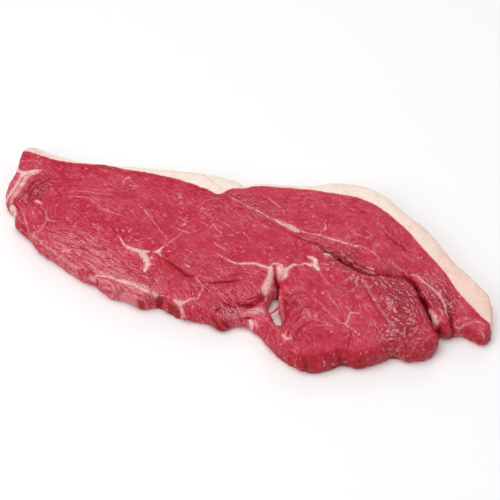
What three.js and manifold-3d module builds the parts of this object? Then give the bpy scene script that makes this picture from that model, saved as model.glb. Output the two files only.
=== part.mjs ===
// A raw rump steak lying on its cut face: one slab of lean with a rind of fat along its back edge,
// seams between its muscles, one deep fissure behind the front lobe, and a tear near the front edge
// with a strand of meat across it.
//
// Millimetres, +Z up. The origin is under the middle of the steak, on the surface it lies on.
// +X runs towards the pointed fat end and -Y towards the ragged front edge. The plan figures below
// are taken from a point close to the middle, and the finished steak is moved onto it at the end.

import * as THREE from 'three';
import { SimplexNoise } from 'three/addons/math/SimplexNoise.js';
import { mergeVertices } from 'three/addons/utils/BufferGeometryUtils.js';
import Module from 'manifold-3d';

// ---- Driving dimensions ----------------------------------------------------------------------

const THICKNESS = 15; // of the slice, away from its seams and lobes
const LEAST_THICKNESS = 3; // at the bottom of any groove
const SPACING = 2.9; // between neighbouring vertices, in plan
const CLEAR_OF_LINES = 0.58 * SPACING; // keeps the lattice off the outline and the grooves
const JITTER = 0.12 * SPACING; // of the lattice, so that its rows don't show

// The outline in plan where the slice is widest, counter-clockwise seen from below: first along the
// fat edge from the blunt end to the pointed one, then round the point and back along the front.
const FAT_EDGE = [
  [-139, 85.5], [-133, 88.5], [-118, 81], [-99, 74.5], [-66, 70], [-29, 65], [-6, 58.5], [-4, 55],
  [6, 57], [25, 55.5], [42, 55.5], [52, 57.5], [71, 54], [83.5, 46.5], [95.5, 32.5], [109.5, 17],
  [119, 1], [125, -8.5], [132, -17.5], [139.5, -29.5], [143, -38],
];
const POINTED_END = [[142.5, -52], [139, -59], [134.5, -60]];
const FRONT_EDGE = [
  [128, -55.5], [122, -53], [117, -55.5], [111.5, -53], [110, -62], [104, -69.5], [93, -72.5],
  [84, -69], [76, -73], [63, -77], [55, -74.5], [40, -79.5], [27, -76.5], [19, -70], [12, -62],
  [8, -55], [2, -49.5], [-6, -46], [-15, -49.5], [-26, -43.5], [-39, -40.5], [-48, -34.5],
  [-54, -32], [-61, -34], [-72, -28], [-81, -25], [-92, -15.5], [-98, -12.5], [-113, 0],
  [-126, 11], [-132, 20.5], [-140, 29.5],
];
const BLUNT_END = [[-141, 36.5], [-145, 42], [-148, 50.5], [-145.5, 59], [-142, 70]];
const TEAR = [
  [10.5, -37], [13, -30], [15.5, -24.5], [18, -26], [18, -32], [18.8, -39], [20.3, -46], [21, -51],
  [17, -51], [15, -46], [13.8, -41.5], [12, -39.8],
];

// The wall from the rim down to the base: the share of the height, and of the rim's inset.
const WALL = [[1, 1], [0.82, 0.42], [0.48, 0], [0.16, 0.12], [0, 0.5]];
const FRONT_INSET = 3; // of the rim behind the widest line, on the side that faces -Y
const BACK_INSET = 1.3; // the same on the side that faces +Y
const TEAR_SHARE = 0.35; // of that inset, round the tear
const RIM_ROUNDING = { reach: 4.5, drop: 1.8 }; // how the cut face turns down to the rim
const RAGGED = { depth: 0.9, length: 7 }; // lumps of the torn front wall

// Rises and falls of the cut face: its middle, height, and how far it reaches along X and Y.
const SWELLS = [
  { at: [-137, 52], rise: -3.2, reach: [26, 34] }, // thin blunt end
  { at: [-124, 60], rise: -1.6, reach: [9, 12] }, // hollow beside the gristle at that end
  { at: [-85, 30], rise: 1.0, reach: [38, 20] }, // eye of the main muscle
  { at: [-30, -18], rise: -1.2, reach: [26, 9] }, // sunken coarse meat behind the front edge
  { at: [-8, -40], rise: -4.0, reach: [16, 9] }, // torn shreds left of the tear
  { at: [6, -52], rise: -6.0, reach: [11, 9] }, // low bridge of meat in front of the tear
  { at: [17, -40], rise: -3.0, reach: [6, 13] }, // lips of the tear
  { at: [17.5, -19], rise: -6.5, reach: [2.6, 6] }, // pit at the tear's upper end
  { at: [40, -45], rise: 1.2, reach: [22, 20] }, // front lobe
  { at: [86, -36], rise: 4, reach: [20, 22] }, // rolled shoulder of the front lobe
  { at: [74, 20], rise: 1.0, reach: [30, 16] }, // cap muscle under the fat
  { at: [108, -36], rise: -2, reach: [7, 15] }, // tail strip beside the front lobe
  { at: [138, -50], rise: -3.0, reach: [13, 12] }, // thin pointed end
];

// Grooves of the cut face. Each runs along a curve and is deepest on it. Its depths are those at its
// start, half way and at its end, and it fades out over its left and right widths, seen along the
// curve from above. The narrow sides of deep grooves have a line of vertices along their lips.
const GROOVE_SHARPNESS = 1.6; // the power that its sides fall with
const DEEP = 1;
const NARROW = 1.5 * SPACING;
const FISSURE_END = [
  [84, -17], [91, -19], [96, -24], [99, -30], [101.5, -36], [104, -41], [105.5, -47], [108, -51],
  [111.5, -55],
];
const SEAMS = [
  { // under the cap muscle, from the fat edge to the front lobe
    along: [[-15, 49], [-7, 42], [1, 36], [8, 30], [19, 24], [29, 17], [37, 12]],
    depths: [0.5, 1.1, 1.8], left: 2.8, right: 3.2,
  },
  { // thin white seam inside the cap muscle
    along: [[29, 17.5], [37, 15], [46, 12], [57, 7], [66, 3], [74, -4]],
    depths: [0.5, 0.6, 0.2], left: 1.6, right: 1.6,
  },
  { // fissure: the cap muscle slopes down into it, the front lobe stands steep over it
    along: [[38, 11], [42, 7], [47, 2.5], [52, -2], [59, -8], [65, -12.5], [72, -16], [84, -17]],
    depths: [1.4, 8, 8], left: 14, right: 2.4,
  },
  { along: FISSURE_END, depths: [8, 6.5, 8], left: 2.4, right: 2.4 }, // down to the front notch
  { along: FISSURE_END, depths: [2.8, 2.8, 3.4], left: 7, right: 9 }, // its rolled lips
  { // between the tail strip and the outer muscle
    along: [[99, -18], [103, -23], [110, -30], [114, -37], [117, -45], [118, -51], [120, -56]],
    depths: [0.6, 2.8, 6.5], left: 3.4, right: 2.6,
  },
  { // gristle that cuts off the blunt end
    along: [[-148, 50], [-143, 53], [-139.5, 60], [-136, 66], [-130, 67.5], [-124, 69]],
    depths: [0.6, 0.9, 0.3], left: 2, right: 2,
  },
  { // fold across the coarse meat
    along: [[-52, -2], [-47, -6], [-40, -13], [-36, -18], [-28, -21], [-20, -24], [-10, -22],
      [-3, -21]],
    depths: [0.2, 1.8, 0.6], left: 3.2, right: 2.2,
  },
  { // crack that opens towards the bridge
    along: [[-12, -35], [-6, -36], [1, -38], [8, -33]],
    depths: [0.4, 2.6, 3], left: 2.4, right: 2.4,
  },
];

// The border between the lean and the rind of fat, from the blunt end to the pointed one.
const RIND_BORDER = {
  along: [[-140, 82], [-131, 81.5], [-114, 74.5], [-97, 72], [-81, 70], [-64, 64.5], [-42, 58],
    [-29, 52], [-18, 47.5], [-4, 50], [14, 51.5], [47, 48], [63, 44], [78, 36], [89, 24], [103, 5],
    [114, -13], [125, -33], [141, -52]],
  depths: [0.4, 0.45, 0.4], left: 1.5, right: 1.5,
};

const WAVES = [{ height: 0.5, length: 30 }, { height: 0.22, length: 9 }]; // of the whole cut face
const STRAND = { // of meat across the tear: its middle line, with heights, and its radius
  along: [[9, -39, 6], [13.3, -38.5, 5.2], [16.5, -36.6, 5.8], [20, -33.5, 7.5]],
  radius: 0.5,
};

const LEAN = new THREE.Color(0xc2415a);
const FAT = new THREE.Color(0xf2dfce);

// ---- Helpers ---------------------------------------------------------------------------------

/** A repeatable stand-in for Math.random. */
function seededRandom(seed) {
  let state = seed;
  return () => {
    state = (state * 16807) % 2147483647;
    return state / 2147483647;
  };
}

const random = seededRandom(20);
const noise = new SimplexNoise({ random });

/** A smooth curve through plan points, as Vector2s about `step` apart. */
function curvePoints(points, step, closed = false) {
  const nodes = points.map(([x, y]) => new THREE.Vector3(x, y, 0));
  const curve = new THREE.CatmullRomCurve3(nodes, closed, 'centripetal');
  const pieces = Math.round(curve.getLength() / step);
  const sampled = curve.getSpacedPoints(pieces).map((p) => new THREE.Vector2(p.x, p.y));
  return closed ? sampled.slice(0, pieces) : sampled;
}

/** A path moved sideways, to its left seen from above where the distance is positive. */
function beside(path, distance) {
  return path.map((p, i) => {
    const run = path[Math.min(i + 1, path.length - 1)].clone().sub(path[Math.max(i - 1, 0)]).normalize();
    return new THREE.Vector2(p.x - distance * run.y, p.y + distance * run.x);
  });
}

/** The nearest place on a polyline: its distance, its side (left positive) and its share of the way. */
function nearestOn(path, point) {
  const best = { distance: Infinity, side: 1, share: 0 };
  for (let i = 0; i + 1 < path.length; i++) {
    const run = path[i + 1].clone().sub(path[i]);
    const from = point.clone().sub(path[i]);
    const t = THREE.MathUtils.clamp(from.dot(run) / run.lengthSq(), 0, 1);
    const distance = from.distanceTo(run.clone().multiplyScalar(t));
    if (distance < best.distance) {
      best.distance = distance;
      best.side = run.cross(from) >= 0 ? 1 : -1;
      best.share = (i + t) / (path.length - 1);
    }
  }
  return best;
}

/** Whether a point lies inside a closed ring, by counting crossings to its right. */
function isInside(ring, point) {
  let inside = false;
  ring.forEach((a, i) => {
    const b = ring[(i + 1) % ring.length];
    const crosses = a.y > point.y !== b.y > point.y;
    if (crosses && point.x < a.x + ((point.y - a.y) * (b.x - a.x)) / (b.y - a.y)) inside = !inside;
  });
  return inside;
}

/** The outward unit normal at each point of a ring; `turn` is 1 for an outline and -1 for a hole. */
function ringNormals(ring, turn) {
  const count = ring.length;
  return ring.map((_, i) => {
    const run = ring[(i + 1) % count].clone().sub(ring[(i + count - 1) % count]).normalize();
    return new THREE.Vector2(-run.y, run.x).multiplyScalar(turn);
  });
}

/** Makes a ring run clockwise seen from above, so that its left side is the outside. */
function clockwise(ring) {
  return THREE.ShapeUtils.isClockWise(ring) ? ring : ring.reverse();
}

/** A triangle of point indices with its circumscribed circle. */
function circled(points, a, b, c) {
  const [p, q, r] = [points[a], points[b], points[c]];
  const d = 2 * (p.x * (q.y - r.y) + q.x * (r.y - p.y) + r.x * (p.y - q.y));
  const [pp, qq, rr] = [p.lengthSq(), q.lengthSq(), r.lengthSq()];
  const x = (pp * (q.y - r.y) + qq * (r.y - p.y) + rr * (p.y - q.y)) / d;
  const y = (pp * (r.x - q.x) + qq * (p.x - r.x) + rr * (q.x - p.x)) / d;
  return { corners: d > 0 ? [a, b, c] : [a, c, b], x, y, radius: Math.hypot(p.x - x, p.y - y) };
}

/** The Delaunay triangles of plan points, facing up, by adding the points from left to right. */
function triangulate(points) {
  const far = 4000;
  const first = points.length;
  const all = [...points, ...[[-far, -far], [far, -far], [0, far]].map((c) => new THREE.Vector2(...c))];
  const order = points.map((_, i) => i).sort((i, j) => points[i].x - points[j].x);
  const done = [];
  let open = [circled(all, first, first + 1, first + 2)];
  for (const index of order) {
    const point = all[index];
    const edges = new Map();
    open = open.filter((triangle) => {
      if (point.x - triangle.x > triangle.radius) {
        done.push(triangle);
        return false;
      }
      if (Math.hypot(point.x - triangle.x, point.y - triangle.y) > triangle.radius) return true;
      triangle.corners.forEach((a, k) => {
        const b = triangle.corners[(k + 1) % 3];
        if (!edges.delete(`${b},${a}`)) edges.set(`${a},${b}`, [a, b]);
      });
      return false;
    });
    for (const [a, b] of edges.values()) open.push(circled(all, a, b, index));
  }
  return [...done, ...open].map((t) => t.corners).filter((c) => Math.max(...c) < first);
}

// ---- The steak's form ------------------------------------------------------------------------

const outline = clockwise(
  curvePoints([...FAT_EDGE, ...POINTED_END, ...FRONT_EDGE, ...BLUNT_END], SPACING, true),
);
const tear = clockwise(curvePoints(TEAR, 0.85 * SPACING, true));
const borders = [outline, tear].map((ring) => [...ring, ring[0]]);
const grooves = [...SEAMS, RIND_BORDER].map((seam) => ({
  ...seam,
  path: curvePoints(seam.along, 0.8 * SPACING),
}));

/** How far a groove lowers the cut face at a point. */
function grooveDepth(groove, point) {
  const near = nearestOn(groove.path, point);
  const width = near.side > 0 ? groove.left : groove.right;
  const across = Math.max(0, 1 - near.distance / width);
  const [start, middle, end] = groove.depths;
  const half = 2 * near.share;
  const depth = half < 1 ? start + (middle - start) * half : middle + (end - middle) * (half - 1);
  return depth * across ** GROOVE_SHARPNESS;
}

/** The height of the cut face at a point. */
function topHeight(point) {
  let height = THICKNESS;
  for (const { at, rise, reach } of SWELLS) {
    height += rise * Math.exp(-(((point.x - at[0]) / reach[0]) ** 2) - ((point.y - at[1]) / reach[1]) ** 2);
  }
  for (const wave of WAVES) height += wave.height * noise.noise(point.x / wave.length, point.y / wave.length);
  height -= Math.max(...grooves.map((groove) => grooveDepth(groove, point)));
  const toEdge = Math.min(...borders.map((border) => nearestOn(border, point).distance));
  const inwards = Math.min(1, Math.max(0, toEdge - BACK_INSET) / RIM_ROUNDING.reach);
  height -= RIM_ROUNDING.drop * (1 - Math.sqrt(1 - (1 - inwards) ** 2));
  return Math.max(height, LEAST_THICKNESS);
}

/** The inset of the rim behind the widest line, for a wall that faces along a normal. */
function rimInset(normal) {
  return THREE.MathUtils.mapLinear(normal.y, -1, 1, FRONT_INSET, BACK_INSET);
}

/** The steak's wall below one ring, as rows of points from the rim down to the base. */
function wallRows(ring, normals, insets) {
  const rims = ring.map((p, i) => p.clone().addScaledVector(normals[i], -insets[i]));
  const heights = rims.map(topHeight);
  return WALL.map(([share, inset], row) =>
    ring.map((p, i) => {
      const z = share * heights[i];
      const lumps = row === 0 ? 0 : RAGGED.depth * (1 - normals[i].y) / 2
        * noise.noise3d(p.x / RAGGED.length, p.y / RAGGED.length, z / RAGGED.length);
      const q = p.clone().addScaledVector(normals[i], lumps - inset * insets[i]);
      return new THREE.Vector3(q.x, q.y, z);
    }),
  );
}

/** The lines the cut face bends along: the bottom of every groove, then the lips of the deep ones. */
function bendLines() {
  const deep = grooves.filter(({ depths }) => Math.max(...depths) > DEEP);
  const lips = deep.flatMap(({ path, left, right }) =>
    [left, -right].filter((width) => Math.abs(width) < NARROW).map((width) => beside(path, width)),
  );
  return [...grooves.map(({ path }) => path), ...lips];
}

/** Points of the cut face inside its rims: those on the bend lines, then a jittered lattice. */
function facePoints(rims) {
  const lines = rims.map((rim) => [...rim, rim[0]]);
  const found = [];
  const addIfFree = (point) => {
    const isOnFace = isInside(rims[0], point) && !isInside(rims[1], point);
    const isFree = () => lines.every((line) => nearestOn(line, point).distance > CLEAR_OF_LINES);
    if (isOnFace && isFree()) found.push(point);
  };
  for (const line of bendLines()) {
    line.forEach(addIfFree);
    lines.push(line);
  }
  const box = new THREE.Box2().setFromPoints(rims[0]);
  const rowGap = (SPACING * Math.sqrt(3)) / 2;
  const jitter = () => JITTER * (random() - 0.5);
  for (let row = 0, y = box.min.y; y < box.max.y; row++, y += rowGap) {
    for (let x = box.min.x + ((row % 2) * SPACING) / 2; x < box.max.x; x += SPACING) {
      addIfFree(new THREE.Vector2(x + jitter(), y + jitter()));
    }
  }
  return found;
}

/** The slab: cut face, walls round the outline and the tear, and the flat base. */
function slabGeometry() {
  const walls = [[outline, 1, 1], [tear, -1, TEAR_SHARE]].map(([ring, turn, share]) => {
    const normals = ringNormals(ring, turn);
    return wallRows(ring, normals, normals.map((normal) => share * rimInset(normal)));
  });
  const rims = walls.map((rows) => rows[0].map((p) => new THREE.Vector2(p.x, p.y)));
  const plan = [...rims.flat(), ...facePoints(rims)];
  const vertices = plan.map((p) => new THREE.Vector3(p.x, p.y, topHeight(p)));

  const middle = ([a, b, c]) => plan[a].clone().add(plan[b]).add(plan[c]).divideScalar(3);
  const faces = triangulate(plan).filter((corners) => {
    const centre = middle(corners);
    return isInside(rims[0], centre) && !isInside(rims[1], centre);
  });

  const bases = [];
  let rimStart = 0;
  walls.forEach((rows, which) => {
    const count = rows[0].length;
    let upper = rimStart;
    for (const row of rows.slice(1)) {
      const lower = vertices.length;
      vertices.push(...row);
      for (let i = 0; i < count; i++) {
        const j = (i + 1) % count;
        const quad = [[upper + i, upper + j, lower + i], [upper + j, lower + j, lower + i]];
        faces.push(...quad.map(([a, b, c]) => (which === 0 ? [a, b, c] : [a, c, b])));
      }
      upper = lower;
    }
    bases.push({ start: upper, ring: rows.at(-1).map((p) => new THREE.Vector2(p.x, p.y)) });
    rimStart += count;
  });
  faces.push(...baseFaces(bases));

  const geometry = new THREE.BufferGeometry().setFromPoints(vertices);
  return geometry.setIndex(faces.flat());
}

/** The triangles of the flat base between the outline's lowest ring and the tear's, facing down. */
function baseFaces([outer, inner]) {
  const index = [...outer.ring.map((_, i) => outer.start + i), ...inner.ring.map((_, i) => inner.start + i)];
  return THREE.ShapeUtils.triangulateShape(outer.ring, [inner.ring]).map((face) => {
    const [a, b, c] = face.map((i) => [...outer.ring, ...inner.ring][i]);
    const facesUp = b.clone().sub(a).cross(c.clone().sub(a)) > 0;
    const [i, j, k] = face.map((corner) => index[corner]);
    return facesUp ? [i, k, j] : [i, j, k];
  });
}

/** The strand of meat that spans the tear. */
function strandGeometry() {
  const route = new THREE.CatmullRomCurve3(STRAND.along.map((p) => new THREE.Vector3(...p)));
  const section = new THREE.Shape().absarc(0, 0, STRAND.radius, 0, 2 * Math.PI);
  return new THREE.ExtrudeGeometry(section, { steps: 10, curveSegments: 3, extrudePath: route });
}

/** A closed geometry as a solid that can be joined. */
function solidOf(wasm, geometry) {
  const bare = geometry.clone().deleteAttribute('normal').deleteAttribute('uv');
  const merged = mergeVertices(bare, 1e-4);
  return new wasm.Manifold(new wasm.Mesh({
    numProp: 3,
    vertProperties: merged.attributes.position.array,
    triVerts: new Uint32Array(merged.index.array),
  }));
}

/** A solid back as a geometry: the lean and the rind in their own colours, the origin under its middle. */
function paintedGeometry(solid) {
  const { vertProperties, triVerts } = solid.getMesh();
  const geometry = new THREE.BufferGeometry();
  geometry.setAttribute('position', new THREE.BufferAttribute(vertProperties, 3));
  geometry.setIndex(new THREE.BufferAttribute(triVerts, 1));
  const rind = curvePoints(RIND_BORDER.along, SPACING);
  const position = geometry.attributes.position;
  const colours = [];
  for (let i = 0; i < position.count; i++) {
    const { side, share } = nearestOn(rind, new THREE.Vector2(position.getX(i), position.getY(i)));
    const isFat = side > 0 && share > 0 && share < 1;
    colours.push(...(isFat ? FAT : LEAN).toArray());
  }
  geometry.setAttribute('color', new THREE.Float32BufferAttribute(colours, 3));
  geometry.computeBoundingBox();
  const middle = geometry.boundingBox.getCenter(new THREE.Vector3());
  geometry.translate(-middle.x, -middle.y, 0);
  geometry.computeVertexNormals();
  return geometry;
}

// ---- Assembly --------------------------------------------------------------------------------

const wasm = await Module();
wasm.setup();
const solid = solidOf(wasm, slabGeometry()).add(solidOf(wasm, strandGeometry()));

const flesh = new THREE.MeshStandardMaterial({ vertexColors: true, roughness: 0.42, metalness: 0 });
const steak = new THREE.Mesh(paintedGeometry(solid), flesh);
steak.name = 'rump_steak';

const group = new THREE.Group();
group.add(steak);
export default group;
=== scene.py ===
"""A raw rump steak, dressed around its packed slab.

The slab is copied, refined and given its fibres, folds, seams and torn edges as real relief. What the
finish needs to know of each place, such as the way the fibres run, how far the rind is and where the
lines of fat lie, is kept on the mesh as attributes, and one raw beef finish colours it from them.

Sizes and places are in millimetres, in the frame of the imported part: +X runs to the pointed fat end,
-Y to the ragged front edge and +Z up from the surface that the steak lies on. Meshes are in metres.
"""

import logging
import math
from dataclasses import dataclass
from enum import Enum

import bpy
import numpy as np
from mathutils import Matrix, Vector, noise


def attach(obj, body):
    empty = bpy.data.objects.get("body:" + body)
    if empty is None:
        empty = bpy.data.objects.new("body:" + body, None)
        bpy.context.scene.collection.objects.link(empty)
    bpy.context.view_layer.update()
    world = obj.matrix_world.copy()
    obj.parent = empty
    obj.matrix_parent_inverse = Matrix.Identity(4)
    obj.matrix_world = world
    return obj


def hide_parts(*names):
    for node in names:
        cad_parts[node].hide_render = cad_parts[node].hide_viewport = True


MM = 0.001
NODE = "rump_steak"

Route = tuple[tuple[float, float, float], ...]
Colour = tuple[float, float, float, float]
Socket = bpy.types.NodeSocket

log = logging.getLogger("steak")


# ---- What lies where on the cut face ---------------------------------------------------------------
#
# Each line, veil and fold of the meat lies somewhere of its own, so it has a row of its own.


@dataclass(frozen=True)
class Line:
    """A line of fat or gristle in the cut face: how pale it is, and its places with widths."""

    name: str
    pale: float
    route: Route


@dataclass(frozen=True)
class Veil:
    """A soft band of membrane or fat over the lean, and for the glints by the fissure a painted highlight:
    how thick it is, and its places with half widths.
    """

    name: str
    amount: float
    route: Route


@dataclass(frozen=True)
class Fold:
    """A fold, crack or roll of the meat: how far its sides reach left and right, and its depths.

    A depth below 0 is raised.
    """

    name: str
    left: float
    right: float
    route: Route


@dataclass(frozen=True)
class Patch:
    """A soft-edged oval of the plan: its middle, its reach along and across, its turn and its amount."""

    at: tuple[float, float]
    reach: tuple[float, float]
    turn: float
    amount: float

    def share(self, plan: np.ndarray) -> np.ndarray:
        """The patch's amount at each plan point, fading out from its middle.

        Args:
            plan: X and Y of the points.

        Returns:
            One amount for each point.
        """
        angle = math.radians(self.turn)
        dx, dy = plan[:, 0] - self.at[0], plan[:, 1] - self.at[1]
        along = (dx * math.cos(angle) + dy * math.sin(angle)) / self.reach[0]
        across = (dy * math.cos(angle) - dx * math.sin(angle)) / self.reach[1]
        return self.amount * np.exp(-(along**2) - across**2)


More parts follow.
